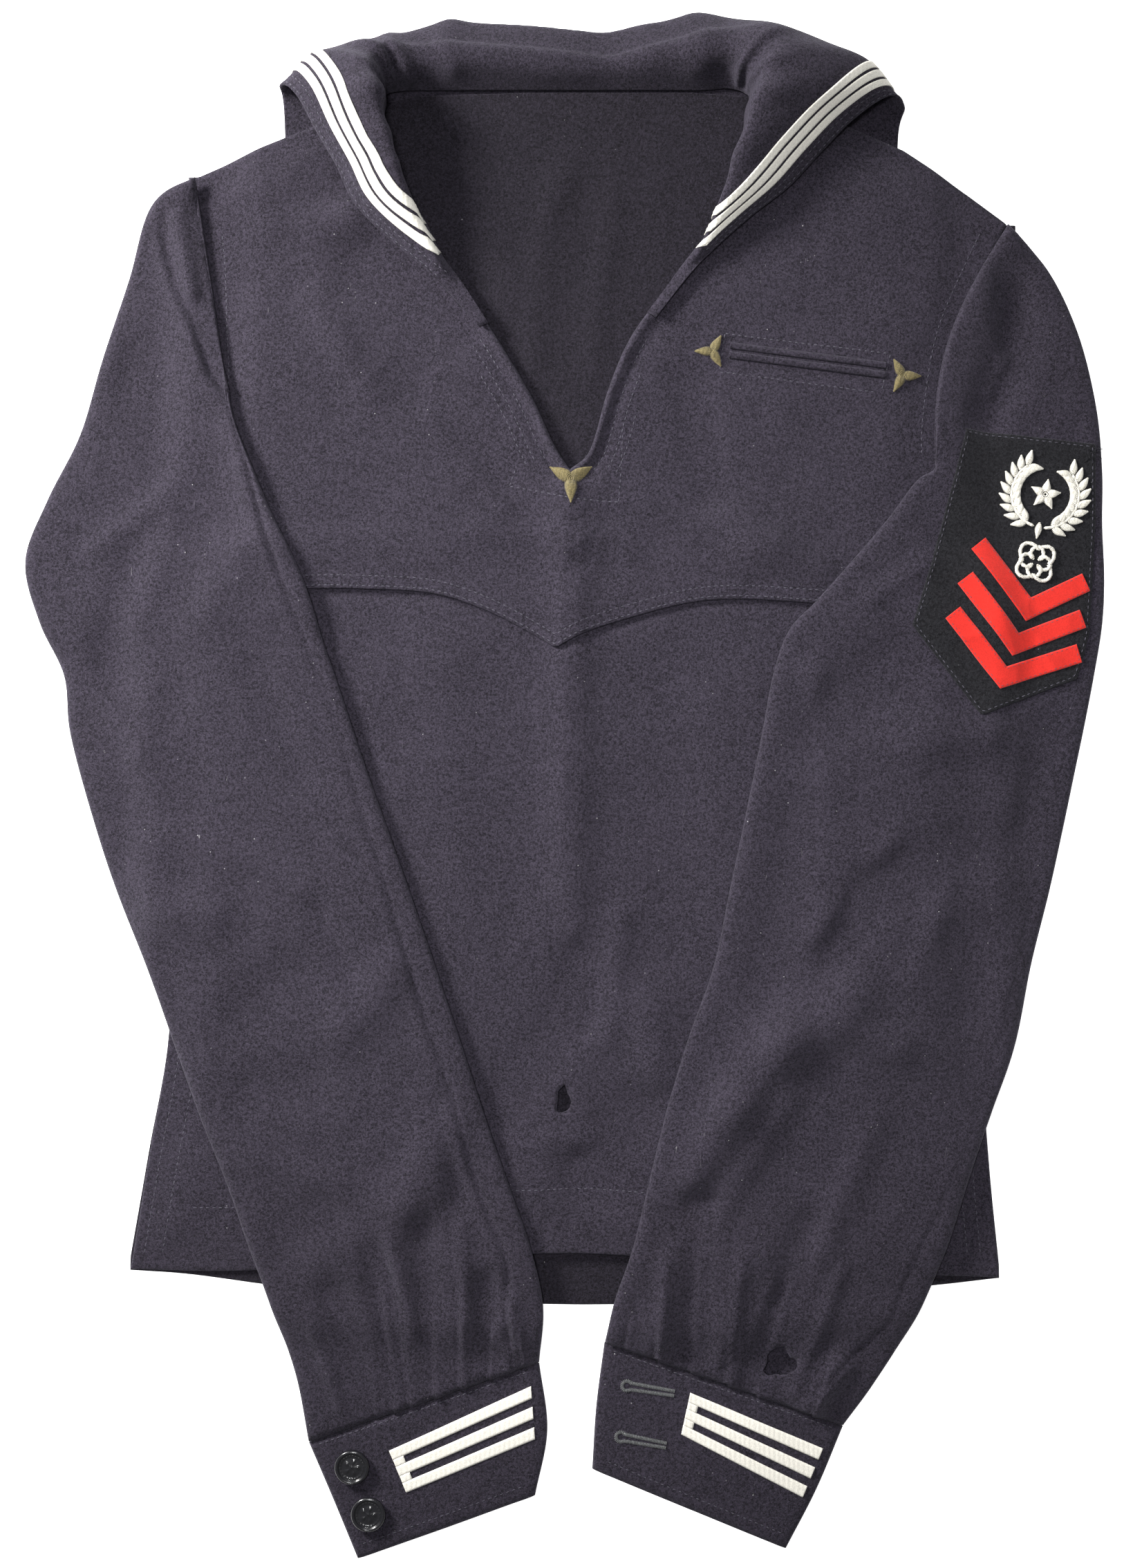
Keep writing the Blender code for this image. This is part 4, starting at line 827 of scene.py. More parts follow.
def cuff_lift(x, y):
    """Slow waves of the cuffs."""
    return 0.22 * ripples(x, y, 21, 40)


def tube_top(spans, base, height, lift):
    """A height function for what is sewn on a tube: the upper side of its finished cloth at any place."""
    table = spline(np.array(spans, float), 4)
    folds = [table[:, :2], table[:, 2:4]]

    def top(x, y):
        outer, inner = (off_chain(line, x, y) for line in folds)
        width, near = outer + inner, np.minimum(outer, inner)
        soft = smooth(near / width * 6)
        return base(x, y) + (1 + lens(near, width)) * height / 2 + lift(x, y) * soft
    return top


def collar_surface():
    """The middle of the collar's cloth: rows around the neck, columns from the seam to the edge. Each row is
    a smooth curve through the table's five points."""
    rolls = [COLLAR_TAILS[0], *COLLAR, COLLAR_TAILS[1]]
    table = np.array([[row.seam, row.rise, row.turn, row.fall, row.edge] for row in rolls], float)
    rows = spline(table.reshape(len(table), -1), COLLAR_FINE).reshape(-1, 5, 3)
    grid = []
    for row in rows:
        line = spline(row, 24)
        line[:, 2] = np.maximum(line[:, 2], CLOTH / 2)
        length = distances(line)
        bend = np.minimum(length, 55) + np.maximum(length - 55, 0) * 0.25
        wanted = np.linspace(0, bend[-1], COLLAR_STEPS + 1)
        grid.append(np.column_stack([np.interp(wanted, bend, line[:, k]) for k in range(3)]))
    return np.array(grid)


def normals_of(grid):
    """The direction across the cloth at each point of a grid."""
    normal = np.cross(np.gradient(grid, axis=1), np.gradient(grid, axis=0))
    return normal / np.maximum(np.linalg.norm(normal, axis=2, keepdims=True), 1e-9)


def rumpled(grid):
    """The collar with the soft lumps that its rolled neck shows."""
    rows, columns = grid.shape[:2]
    s = np.linspace(-1, len(COLLAR), rows)[:, None]
    t = np.linspace(0, 1, columns)[None, :]
    neck = np.sin(pi * np.clip(s / (len(COLLAR) - 1), 0, 1)) ** 0.7
    inner = smooth(t / 0.12) * smooth((0.75 - t) / 0.3)
    wave = 1.1 * np.sin(s * 2.3 + 1.2 * t) + 0.7 * np.sin(s * 4.1 + 1.9 + 3 * t)
    lumps = sum(h * bell(s - a, w) for a, w, h in COLLAR_LUMPS)
    lift = (wave * 0.55 + lumps) * neck * inner
    out = grid - normals_of(grid) * lift[..., None]
    out[..., 2] = np.maximum(out[..., 2], CLOTH / 2 + 0.02)
    return out


def strip_along(grid, first, last, start, width, raise_by, across=4):
    """A strip that lies on the collar's outer side, start in from its edge, between two rows."""
    out = []
    lift = -normals_of(grid) * raise_by
    places = np.linspace(start, start + width, across + 1)
    for i in range(first, last):
        line = (grid[i] + lift[i])[::-1]
        length = distances(grid[i, ::-1])
        out.append(np.column_stack([np.interp(places, length, line[:, k]) for k in range(3)]))
    return np.array(out)


def walled(name, grid, thickness, finish, offset=0, out=None):
    """An open grid as a wall, turned so that it looks along out where that is given."""
    faces = grid_faces(*grid.shape[:2])
    if out is not None:
        faces = facing(grid, faces, out)
    return give_wall(link(mesh_of(name, grid, faces, laid_flat(grid)), name, finish), thickness, offset)


def tube_faces(count, rings, around):
    """Faces of many small closed tubes whose end rings are single points laid on each other."""
    one = grid_faces(rings, around, closed=True)
    step = rings * around
    return (np.arange(count)[:, None, None] * step + one[None]).reshape(-1, 4)


def beside_line(line, distance):
    """A line that runs at one distance beside another, to its left where the distance is above zero."""
    line = np.asarray(line, float)
    run = np.gradient(line, axis=0)
    run /= np.linalg.norm(run, axis=1, keepdims=True)
    return line + np.column_stack([-run[:, 1], run[:, 0]]) * distance


def join(pieces, name):
    """Several pieces as one mesh, by their data, without modifiers."""
    points, faces, first = [], [], 0
    for piece in pieces:
        mesh = piece.data
        co = np.empty(len(mesh.vertices) * 3, np.float32)
        mesh.vertices.foreach_get("co", co)
        points.append(co.reshape(-1, 3))
        loops = np.empty(len(mesh.loops), np.int32)
        mesh.loops.foreach_get("vertex_index", loops)
        faces.append(loops.reshape(-1, 4) + first)
        first += len(mesh.vertices)
    finish = pieces[0].data.materials[0]
    whole = mesh_of(name, np.vstack(points) / MM - SHIFT, np.vstack(faces))
    for piece in pieces:
        old = piece.data
        bpy.data.objects.remove(piece)
        bpy.data.meshes.remove(old)
    return link(whole, name, finish)


def tread(name, path, thick, finish, around=8):
    """A thread along a path of points (x, y, z), as a closed round tube."""
    path = np.asarray(path, float)
    run = np.gradient(path, axis=0)
    run /= np.maximum(np.linalg.norm(run, axis=1, keepdims=True), 1e-9)
    level = np.column_stack([-run[:, 1], run[:, 0], np.zeros(len(run))])
    level /= np.maximum(np.linalg.norm(level, axis=1, keepdims=True), 1e-9)
    rise = np.cross(run, level)
    angle = np.arange(around) / around * 2 * pi
    size = np.ones(len(path))
    size[0] = size[-1] = 0.02
    ring = level[:, None] * np.cos(angle)[None, :, None] + rise[:, None] * np.sin(angle)[None, :, None]
    grid = path[:, None] + ring * (thick / 2 * size)[:, None, None]
    return link(mesh_of(name, grid, grid_faces(len(path), around, closed=True)), name, finish)


def closed(outline):
    """An outline with its first point again at its end."""
    return np.vstack([outline, outline[:1]])


def shrunk(outline, inset):
    """A closed outline moved inwards by one distance, corners kept."""
    before, after = np.roll(outline, 1, axis=0), np.roll(outline, -1, axis=0)
    a = outline - before
    b = after - outline
    a /= np.maximum(np.linalg.norm(a, axis=1, keepdims=True), 1e-9)
    b /= np.maximum(np.linalg.norm(b, axis=1, keepdims=True), 1e-9)
    turn = np.sign(np.sum(outline[:, 0] * after[:, 1] - outline[:, 1] * after[:, 0]))
    na = np.column_stack([-a[:, 1], a[:, 0]]) * turn
    nb = np.column_stack([-b[:, 1], b[:, 0]]) * turn
    bisector = (na + nb) / np.maximum(1 + (na * nb).sum(axis=1, keepdims=True), 0.35)
    return outline + bisector * inset


def linear(code):
    """The linear colour of an sRGB hex code: each channel c becomes ((c + 0.055) / 1.055) to the power 2.4,
    or c / 12.92 where it is nearly black."""
    channels = np.array([int(code[k:k + 2], 16) for k in (1, 3, 5)]) / 255
    light = np.where(channels <= 0.04045, channels / 12.92, ((channels + 0.055) / 1.055) ** 2.4)
    return (*(float(c) for c in light), 1.0)


def shade(colour, share):
    """A colour made darker or brighter."""
    return (*(c * share for c in colour[:3]), 1.0)


def put_node(tree, kind, outlet, inputs, **settings):
    """Adds a node with its settings, sets its inputs or links them to other nodes' outputs, and gives one of
    its own outputs. The shader is there already and only gets its inputs."""
    new = tree.nodes[kind] if kind == SHADER else tree.nodes.new("ShaderNode" + kind)
    for name, value in settings.items():
        setattr(new, name, value)
    for name, value in inputs.items():
        if isinstance(value, bpy.types.NodeSocket):
            tree.links.new(value, new.inputs[name])
        else:
            new.inputs[name].default_value = value
    return new.outputs[outlet]


def blank(name):
    """A new material, what adds nodes to it, and the Object coordinates that all its patterns read."""
    finish = bpy.data.materials.new(name)
    finish.use_nodes = True
    put = partial(put_node, finish.node_tree)
    return finish, put, put("TexCoord", "Object", {})


def melton(name, dark, light, lint=1.0, sheen=0.14):
    """Melton is wool, woven, fulled and napped. The eye sees short matted fibres and no weave, hardly any
    shine, and pale lint that clings in places. Real fibres are finer than 0.1 mm: the grain here is drawn as
    coarse as it needs to show. The colour goes from dark to light by two noises, the fibres and the nap.
    Lint is the larger of stretched noise and of dots in some cells, and thins out by a slow noise."""
    finish, put, place = blank(name)
    fibre, nap, patch, crowd = [put("TexNoise", "Fac", {"Vector": place, **grain}) for grain in MELTON_GRAIN]
    grain = put("Mix", 0, {0: 0.4, 2: fibre, 3: nap})
    pale = put("MapRange", 0, {0: grain, 1: 0.39, 2: 0.61}, **SOFT)
    colour = put("Mix", 2, {0: pale, 6: shade(dark, 0.5), 7: shade(light, 1.6)}, **COLOURS)
    uneven = put("MapRange", 0, {0: patch, 1: 0.35, 2: 0.75, 4: 0.1}, **SOFT)
    colour = put("Mix", 2, {0: uneven, 6: colour, 7: shade(light, 1.5)}, **COLOURS)
    stretched = put("Mapping", 0, {"Vector": place, "Scale": (1.0, 0.22, 1.0)})
    wisps = put("TexNoise", "Fac", {"Vector": stretched, **LINT_WISPS})
    fluff = put("MapRange", 0, {0: wisps, 1: 0.74, 2: 0.80, 4: 0.4 * lint}, **SOFT)
    for scale, reach, share in LINT_DOTS:
        near = put("TexVoronoi", "Distance", {"Vector": place, "Scale": scale})
        draw = put("SeparateColor", 0, {0: near.node.outputs["Color"]})
        dots = put("MapRange", 0, {0: near, 1: reach, 2: reach / 2}, **SOFT)
        some = put("Math", 0, {0: draw, 1: 1 - share * lint}, operation="GREATER_THAN")
        dots = put("Math", 0, {0: dots, 1: some}, operation="MULTIPLY")
        fluff = put("Math", 0, {0: fluff, 1: dots}, operation="MAXIMUM")
    clinging = put("MapRange", 0, {0: crowd, 1: 0.48, 2: 0.66, 3: 0.12, 4: 0.87}, **SOFT)
    fluff = put("Math", 0, {0: fluff, 1: clinging}, operation="MULTIPLY")
    colour = put("Mix", 2, {0: fluff, 6: colour, 7: linear("#ADACAF")}, **COLOURS)
    height = put("Math", 0, {0: nap, 1: 1.5, 2: fibre}, operation="MULTIPLY_ADD")
    relief = put("Bump", 0, {"Height": height, "Strength": 0.8, "Distance": 0.54 * MM})
    put(SHADER, 0, {"Base Color": colour, "Roughness": 0.96, "Normal": relief, "Sheen Weight": sheen,
                    "Sheen Roughness": 0.45, "Sheen Tint": linear("#C4C0D4"), "Specular IOR Level": 0.18})
    return finish


def thread_cloth(name, light, dark, rib=2.4, turn=0.0, sheen=0.15, strength=0.35):
    """Woven tape or laid thread: fine ribs across it, rib millimetres apart and so coarser than the real
    ones, with a little unevenness and soil. The eye sees a soft, slightly streaked band."""
    finish, put, place = blank(name)
    turned = put("Mapping", 0, {"Vector": place, "Rotation": (0.0, 0.0, turn)})
    ribs = put("TexWave", "Fac", {"Vector": turned, "Scale": 2 * pi / 20 * per_mm(rib), "Distortion": 1.5,
                                  "Detail Scale": 3.0})
    fibre, soil = [put("TexNoise", "Fac", {"Vector": place, **grain}) for grain in THREAD_GRAIN]
    pale = put("MapRange", 0, {0: fibre, 1: 0.3, 2: 0.7}, **SOFT)
    colour = put("Mix", 2, {0: pale, 6: dark, 7: light}, **COLOURS)
    soiled = put("MapRange", 0, {0: soil, 1: 0.55, 2: 0.85, 4: 0.35}, **SOFT)
    colour = put("Mix", 2, {0: soiled, 6: colour, 7: dark}, **COLOURS)
    height = put("Math", 0, {0: fibre, 1: 1.2, 2: ribs}, operation="MULTIPLY_ADD")
    relief = put("Bump", 0, {"Height": height, "Strength": strength, "Distance": 0.2 * MM})
    put(SHADER, 0, {"Base Color": colour, "Roughness": 0.8, "Normal": relief, "Sheen Weight": sheen,
                    "Sheen Roughness": 0.5, "Specular IOR Level": 0.25})
    return finish


def pressed_felt(name, colour):
    """Wool felt, pressed and cut: matted fibres, no weave. The eye sees a matt, slightly mottled stripe."""
    finish, put, place = blank(name)
    fibre, patch = [put("TexNoise", "Fac", {"Vector": place, **grain}) for grain in FELT_GRAIN]
    pale = put("MapRange", 0, {0: fibre, 1: 0.3, 2: 0.7}, **SOFT)
    tone = put("Mix", 2, {0: pale, 6: shade(colour, 0.72), 7: shade(colour, 1.0)}, **COLOURS)
    mottled = put("MapRange", 0, {0: patch, 1: 0.45, 2: 0.8, 4: 0.3}, **SOFT)
    tone = put("Mix", 2, {0: mottled, 6: tone, 7: shade(colour, 0.6)}, **COLOURS)
    relief = put("Bump", 0, {"Height": fibre, "Strength": 0.4, "Distance": 0.5 * MM})
    put(SHADER, 0, {"Base Color": tone, "Roughness": 0.92, "Normal": relief, "Sheen Weight": 0.2,
                    "Sheen Roughness": 0.5, "Specular IOR Level": 0.15})
    return finish


def moulded_phenolic(name, colour):
    """A moulded black button: glossy where it is untouched and duller where it is worn by handling."""
    finish, put, place = blank(name)
    wear, dimples = [put("TexNoise", "Fac", {"Vector": place, **grain}) for grain in BUTTON_GRAIN]
    rough = put("MapRange", 0, {0: wear, 1: 0.35, 2: 0.75, 3: 0.16, 4: 0.4}, **SOFT)
    relief = put("Bump", 0, {"Height": dimples, "Strength": 0.08, "Distance": 0.3 * MM})
    put(SHADER, 0, {"Base Color": colour, "Roughness": rough, "Normal": relief, "Coat Weight": 0.5,
                    "Coat Roughness": 0.12})
    return finish


def finishes(sizes):
    """All the finishes, each made once. Their keys are short, and the materials are named for the stuff, one
    also for its painted shade.
    """
    cloth = sizes.cloth_colour
    tape = sizes.tape_colour
    wanted = {
        "navy_wool": ("melton_wool_napped", melton, shade(cloth, 0.55), cloth),
        # The same navy wool painted darker, at about half the colour of the lit cloth. This is painted shade
        # for the back, which shows inside the neck and through the moth hole in the front.
        "navy_painted_shade": ("melton_wool_inside", melton, shade(cloth, 0.28), shade(cloth, 0.52), 0.4, 0.08),
        "badge_cloth": ("serge_fulled", melton, linear("#161619"), sizes.badge_colour, 0.7, 0.12),
        "white_tape": ("cotton_tape_woven", thread_cloth, shade(tape, 1.0), shade(tape, 0.78)),
        "red_felt": ("wool_felt_pressed", pressed_felt, sizes.felt_colour),
        "white_embroidery": ("rayon_satin_stitch", thread_cloth, linear("#E7E5DB"), linear("#C4C0B6"),
                             1.96, 0.4, 0.25, 0.5),
        "olive_gold_thread": ("silk_twist_olive", thread_cloth, linear("#7C714B"), linear("#554D35"),
                              1.96, 0.3, 0.25, 0.6),
        "black_button": ("phenolic_moulded", moulded_phenolic, linear("#19191D")),
        "buttonhole_twist": ("silk_twist_slate", thread_cloth, linear("#6C6E6F"), linear("#3F4042"), 1.57),
        "sewing_thread": ("cotton_thread_navy", thread_cloth, linear("#52505B"), linear("#3C3A44"), 1.57),
    }
    return {key: bpy.data.materials.get(name) or make(name, *values)
            for key, (name, make, *values) in wanted.items()}


def run_of_stitches(name, path, up, finish, pitch=STITCH_PITCH, length=STITCH, thick=0.5, sink=0.1):
    """A row of machine stitches on a path of points (x, y, z), with the direction off the cloth at each."""
    path, up = np.asarray(path, float), np.asarray(up, float)
    distance = distances(path)
    starts = np.arange(0.2, distance[-1] - length, pitch)

    def at(values, s):
        return np.column_stack([np.interp(s, distance, values[:, k]) for k in range(3)])

    profile = ((0.0, 0.0, -0.35), (0.14, 0.85, 0.0), (0.5, 1.0, 0.12), (0.86, 0.85, 0.0), (1.0, 0.0, -0.35))
    rings = []
    for t, size, rise in profile:
        place, away = at(path, starts + t * length), at(up, starts + t * length)
        run = at(path, starts + t * length + 0.3) - at(path, starts + t * length - 0.3)
        run /= np.maximum(np.linalg.norm(run, axis=1, keepdims=True), 1e-9)
        across = np.cross(run, away)
        place = place + away * (rise * thick - sink)
        rings.append([place + (across * np.cos(a) + away * np.sin(a)) * max(size, 0.03) * thick / 2
                      for a in np.arange(6) / 6 * 2 * pi])
    points = np.array(rings).transpose(2, 0, 1, 3)
    return link(mesh_of(name, points, tube_faces(len(starts), len(profile), 6)), name, finish)


def stitched(name, lines, height, finish, **sizes):
    """Rows of stitches on cloth whose upper side has a given height, joined in one piece."""
    rows = []
    for line in lines:
        plan = walked(np.asarray(line, float), max(3, int(line_length(line) / 1.5)))
        z = height(plan[:, 0], plan[:, 1])
        path = np.column_stack([plan, z])
        rows.append(run_of_stitches(name, path, np.tile((0.0, 0.0, 1.0), (len(path), 1)), finish, **sizes))
    return join(rows, name)


def polygon_area(outline):
    """The area in square metres of an outline in millimetres, by the shoelace formula."""
    p, q = np.asarray(outline, float), np.roll(np.asarray(outline, float), -1, axis=0)
    return abs(float((p[:, 0] * q[:, 1] - q[:, 0] * p[:, 1]).sum())) / 2 * MM * MM


def grid_area(grid):
    """The area in square metres of a surface given as a grid of points in millimetres."""
    a, b = np.diff(grid, axis=0)[:, :-1], np.diff(grid, axis=1)[:-1]
    return float(np.linalg.norm(np.cross(a, b), axis=2).sum()) * MM * MM


def fit(piece, nodes, area=None):
    """Hangs a piece under the root empty and hides the imported parts that it stands for."""
    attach(piece, "root")
    if nodes:
        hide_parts(*nodes)
    return piece


def spans_area(spans):
    """The area of a tube laid flat, both its layers."""
    table = np.array(spans, float)
    return 2 * polygon_area(np.vstack([table[:, :2], table[::-1, 2:4]]))


def make_body(fin):
    """The back, the lower front and the yoke, with their sewing, pocket and tacks."""
    # The back wears the navy wool painted darker: painted shade for the inside of the jumper.
    back = cloth("back_cloth", back_grid(), fin["navy_painted_shade"])
    front = cloth("front_cloth", front_grid(), fin["navy_wool"], holes=[FRONT_HOLE])
    yoke = cloth("yoke_cloth", yoke_grid(), fin["navy_wool"])
    thread = fin["sewing_thread"]
    hem_line = spline(xy(FRONT_HEM), 6) + (0, HEM_DEEP)
    sides = [[(side(y, name) + inset, y) for y in np.linspace(-225.0, -95.0, 30)]
             for name, inset in (("left", 6.0), ("left", 15.0), ("right", -9.0), ("right", -15.5))]
    front_sewing = stitched("front_sewing", [hem_line[4:-4], *sides], front_top, thread)
    edge_x = np.linspace(YOKE_EDGE[0].x + 3, YOKE_EDGE[-1].x - 3, 180)
    point = np.column_stack([edge_x, pointed(edge_x)])
    rows = [point + (0, 1.7), point + (0, 6.6)]
    left_v, right_v = v_neck(5)
    rows += [beside_line(left_v, -1.9), beside_line(right_v, -1.9)]
    rows += [beside_line(left_v[:-3], -7.2), beside_line(right_v[3:], -7.2)]
    for inset, skip in ((12.0, 0.34), (16.5, 0.46)):
        far, near = int(skip * len(left_v)), int(0.16 * len(left_v))
        rows += [beside_line(left_v[far:len(left_v) - near], -inset),
                 beside_line(right_v[near:len(right_v) - far], -inset)]
    heights = np.linspace(166, 276, 50)
    rows += [np.column_stack([side(heights, "left") + 6, heights]),
             np.column_stack([side(heights, "right") - 6, heights])]
    rows += [np.array(line, float) for line in PLACKET_ROWS + POCKET_ROWS]
    yoke_sewing = stitched("yoke_sewing", rows, yoke_top, thread)
    welt_nodes = ("pocket_welt_upper", "pocket_welt_lower")
    welts = [welt("cloth_" + node, ends, WELT_WIDTH - 0.9, fin["navy_wool"])
             for node, ends in zip(welt_nodes, beside_pocket((WELT_WIDTH + SEAM_GAP) / 2))]
    tacks = [arrowhead("thread_" + name, *tack, fin["olive_gold_thread"]) for name, tack in TACKS.items()]
    fit(back, ["back"], polygon_area(back_outline()))
    fit(front, ["front"], polygon_area(front_outline()))
    for piece in (front_sewing, yoke_sewing):
        fit(piece, ())
    for piece, node in zip(welts, welt_nodes):
        fit(piece, [node])
    for piece, node in zip(tacks, TACKS):
        fit(piece, [node])
    fit(yoke, ["yoke"], grid_area(yoke_grid()))


def back_outline():
    """The outline of the back."""
    heights = np.linspace(-230, 290, 40)
    return np.vstack([xy(BACK_HEM), [(side(y, "right"), y) for y in heights], xy(SHOULDERS)[::-1],
                      [(side(y, "left"), y) for y in heights[::-1]]])


def front_outline():
    """The outline of the lower front, up to where it ends beneath the yoke."""
    heights = np.linspace(-228, 84, 30)
    return np.vstack([xy(FRONT_HEM), [(side(y, "right"), y) for y in heights],
                      xy(YOKE_EDGE)[::-1] + (0, YOKE_OVERLAP), [(side(y, "left"), y) for y in heights[::-1]]])


def welt(name, ends, wide, finish):
    """One rounded welt of the breast pocket."""
    a, b = ends
    run = (b - a) / np.linalg.norm(b - a)
    across = np.array([-run[1], run[0]])
    u, v = np.meshgrid(crowded(np.linalg.norm(b - a), 2.0), np.linspace(-1, 1, 9))
    plan = a + run * (u * np.linalg.norm(b - a))[..., None] + across * (v * wide / 2)[..., None]
    x, y = plan[..., 0], plan[..., 1]
    z = yoke_top(x, y) + 0.15 + 1.35 * np.sqrt(np.clip(1 - (np.abs(v) * 0.97) ** 2.2, 0, 1))
    return walled(name, np.stack([x, y, z], axis=-1), 0.9, finish, -1, (0, 0, 1))


def arrowhead(name, centre, angle, size, finish):
    """A tack of three pointed leaves in thick thread around one point."""
    threads = []
    for lobe in range(3):
        out = toward(np.radians(angle + lobe * 120)) * size
        start, end = centre - out * 0.08, centre + out * 0.92
        threads += satin(name, start, end, size * 0.52, yoke_top, finish, 1.25, 0.62)
    return join(threads, name)


def make_collar(fin):
    """The collar in one cloth, its six lengths of white tape, and its sewing."""
    grid = rumpled(collar_surface())
    collar = walled("collar_cloth", grid, CLOTH, fin["navy_wool"])
    sewing, tapes = [], []
    for where, spans in TAPE_SPAN.items():
        for k, name in enumerate(("outer", "middle", "inner")):
            first, last = (int((row + 1) * COLLAR_FINE) for row in spans[k])
            start = COLLAR_BORDER + k * (TAPE_WIDTH + TAPE_SPACE)
            strip = strip_along(grid, first, last, start, TAPE_WIDTH, CLOTH / 2 + 0.42)
            strip[..., 2] = np.maximum(strip[..., 2], TAPE_CLEAR)
            tape = walled(f"tape_{name}_{where}", strip, 0.5, fin["white_tape"], 0)
            tapes.append(fit(tape, [f"collar_tape_{name}_{where}"]))
            up = surface_up(grid, first, last, start)
            for place in (0.12, 0.88):
                inset = start + place * TAPE_WIDTH
                line = strip_along(grid, first, last, inset, 0.1, CLOTH / 2 + 0.68, 1)[:, 0]
                line[:, 2] = np.maximum(line[:, 2], TAPE_CLEAR)
                sewing.append(run_of_stitches("tape_sewing", line, up, fin["white_tape"], *TAPE_STITCH))
    tape_sewing = fit(join(sewing, "tape_sewing"), ())
    rows = [edge_row(grid, int(first * COLLAR_FINE), int(last * COLLAR_FINE), inset, fin)
            for inset in EDGE_INSETS for first, last in EDGE_SPAN]
    stand = inner_row(grid, *(int(row * COLLAR_FINE) for row in STAND_SPAN), 4.5, fin)
    border = fit(join([*rows, stand], "collar_sewing"), ())
    fit(collar, ["collar"], grid_area(grid))


def surface_up(grid, first, last, start):
    """The direction away from the collar's outer side, start in from its edge, for each row."""
    away = -normals_of(grid)
    out = []
    for i in range(first, last):
        length = distances(grid[i, ::-1])
        line = away[i, ::-1]
        out.append([np.interp(start, length, line[:, k]) for k in range(3)])
    out = np.array(out)
    return out / np.linalg.norm(out, axis=1, keepdims=True)


def edge_row(grid, first, last, inset, fin):
    """A row of stitches beside the collar's edge."""
    line = strip_along(grid, first, last, inset, 0.1, CLOTH / 2 + 0.05, 1)[:, 0]
    return run_of_stitches("collar_row", line, surface_up(grid, first, last, inset), fin["sewing_thread"])


def inner_row(grid, first, last, rise, fin):
    """A row of stitches on the inside of the stand, above the neck seam."""
    inward = normals_of(grid)
    path, up = [], []
    for i in range(first, last):
        length = distances(grid[i])
        face = grid[i] + inward[i] * (CLOTH / 2 + 0.05)
        path.append([np.interp(rise, length, face[:, k]) for k in range(3)])
        up.append([np.interp(rise, length, inward[i, :, k]) for k in range(3)])
    return run_of_stitches("collar_stand_row", path, up, fin["sewing_thread"])


def make_sleeves(fin):
    """Both sleeves, each one tube of cloth."""
    for name, spans, lift, holes in (("right", SLEEVE_RIGHT, right_lift, []),
                                     ("left", SLEEVE_LEFT, left_lift, [SLEEVE_HOLE])):
        grid, upper = tube_grid(spans, body_top, TUBE_HEIGHT, SLEEVE_FINE, SLEEVE_AROUND, lift)
        piece = tube_cloth(f"sleeve_{name}_cloth", grid, upper, fin["navy_wool"], holes)
        fit(piece, [f"sleeve_{name}_top", f"sleeve_{name}_under"],
            spans_area(spans))


def make_cuffs(fin):
    """Both cuffs with their tapes, sewing, buttons and buttonholes."""
    for name, spans, box in (("right", CUFF_RIGHT, CUFF_TAPE_RIGHT), ("left", CUFF_LEFT, CUFF_TAPE_LEFT)):
        grid, upper = tube_grid(spans, on_floor, CUFF_HEIGHT, CUFF_FINE, CUFF_AROUND, cuff_lift)
        piece = tube_cloth(f"cuff_{name}_cloth", grid, upper, fin["navy_wool"])
        top = tube_top(spans, on_floor, CUFF_HEIGHT, cuff_lift)
        tape = cuff_tape(f"cuff_tape_{name}_cloth", box, top, fin["white_tape"])
        ends = np.array(spans, float)
        lines = []
        for row, along_by in ((0, 2.2), (-1, -6.5)):
            a, b = ends[row, :2], ends[row, 2:4]
            down = (ends[-1, :2] + ends[-1, 2:4] - ends[0, :2] - ends[0, 2:4]) / 2
            down /= np.linalg.norm(down)
            lines.append(np.array([a + (b - a) * 0.04, b - (b - a) * 0.04]) + down * along_by)
        sewing = stitched(f"cuff_sewing_{name}", lines, top, fin["sewing_thread"])
        fit(sewing, ())
        fit(tape, [f"cuff_tape_{name}"])
        trims = [sewing, tape]
        if name == "left":
            holes = [buttonhole(f"buttonhole_{k + 1}", pair, top, fin) for k, pair in enumerate(BUTTONHOLES)]
            trims += [fit(hole, ()) for hole in holes]
        fit(piece, [f"cuff_{name}"], spans_area(spans))
    for place, node in zip(BUTTONS, ("button_upper", "button_lower")):
        fit(gloss_button("gloss_" + node, place, fin["black_button"]), [node])


def cuff_tape(name, box, height, finish):
    """The box of white tape on a cuff: three bars, joined at the end that meets the fold."""
    corners = xy(box)
    bars = ((0.0, 0.23), (0.385, 0.615), (0.77, 1.0))
    u = crowded(np.linalg.norm(corners[1] - corners[0]), 1.6)
    pieces = [tape_patch(name, corners, u, np.linspace(low, high, 9), height, finish) for low, high in bars]
    u = np.linspace(0.001, 0.075, 6)
    for (_, low), (high, _) in zip(bars[:-1], bars[1:]):
        v = np.linspace(low - 0.01, high + 0.01, 8)
        pieces.append(tape_patch(name, corners, u, v, height, finish, 0.02))
    return give_wall(join(pieces, name), 0.55)


def tape_patch(name, corners, u, v, height, finish, sink=0.0):
    """A grid of a tape's upper side inside a box given by its corners, with its long edges rounded."""
    a, b, c, d = corners
    s, t = np.meshgrid(u, v)
    s, t = s[..., None], t[..., None]
    plan = (1 - s) * (1 - t) * a + s * (1 - t) * b + s * t * c + (1 - s) * t * d
    x, y = plan[..., 0], plan[..., 1]
    across = (v - v[0]) / (v[-1] - v[0])
    near = np.minimum(across, 1 - across)[:, None] * np.linalg.norm(d - a) * (v[-1] - v[0])
    z = height(x, y) + 0.72 - sink - edge_drop(near, 0.32, 0.7)
    grid = np.stack([x, y, z], axis=-1)
    return link(mesh_of(name, grid, facing(grid, grid_faces(*grid.shape[:2]), (0, 0, 1))), name, finish)


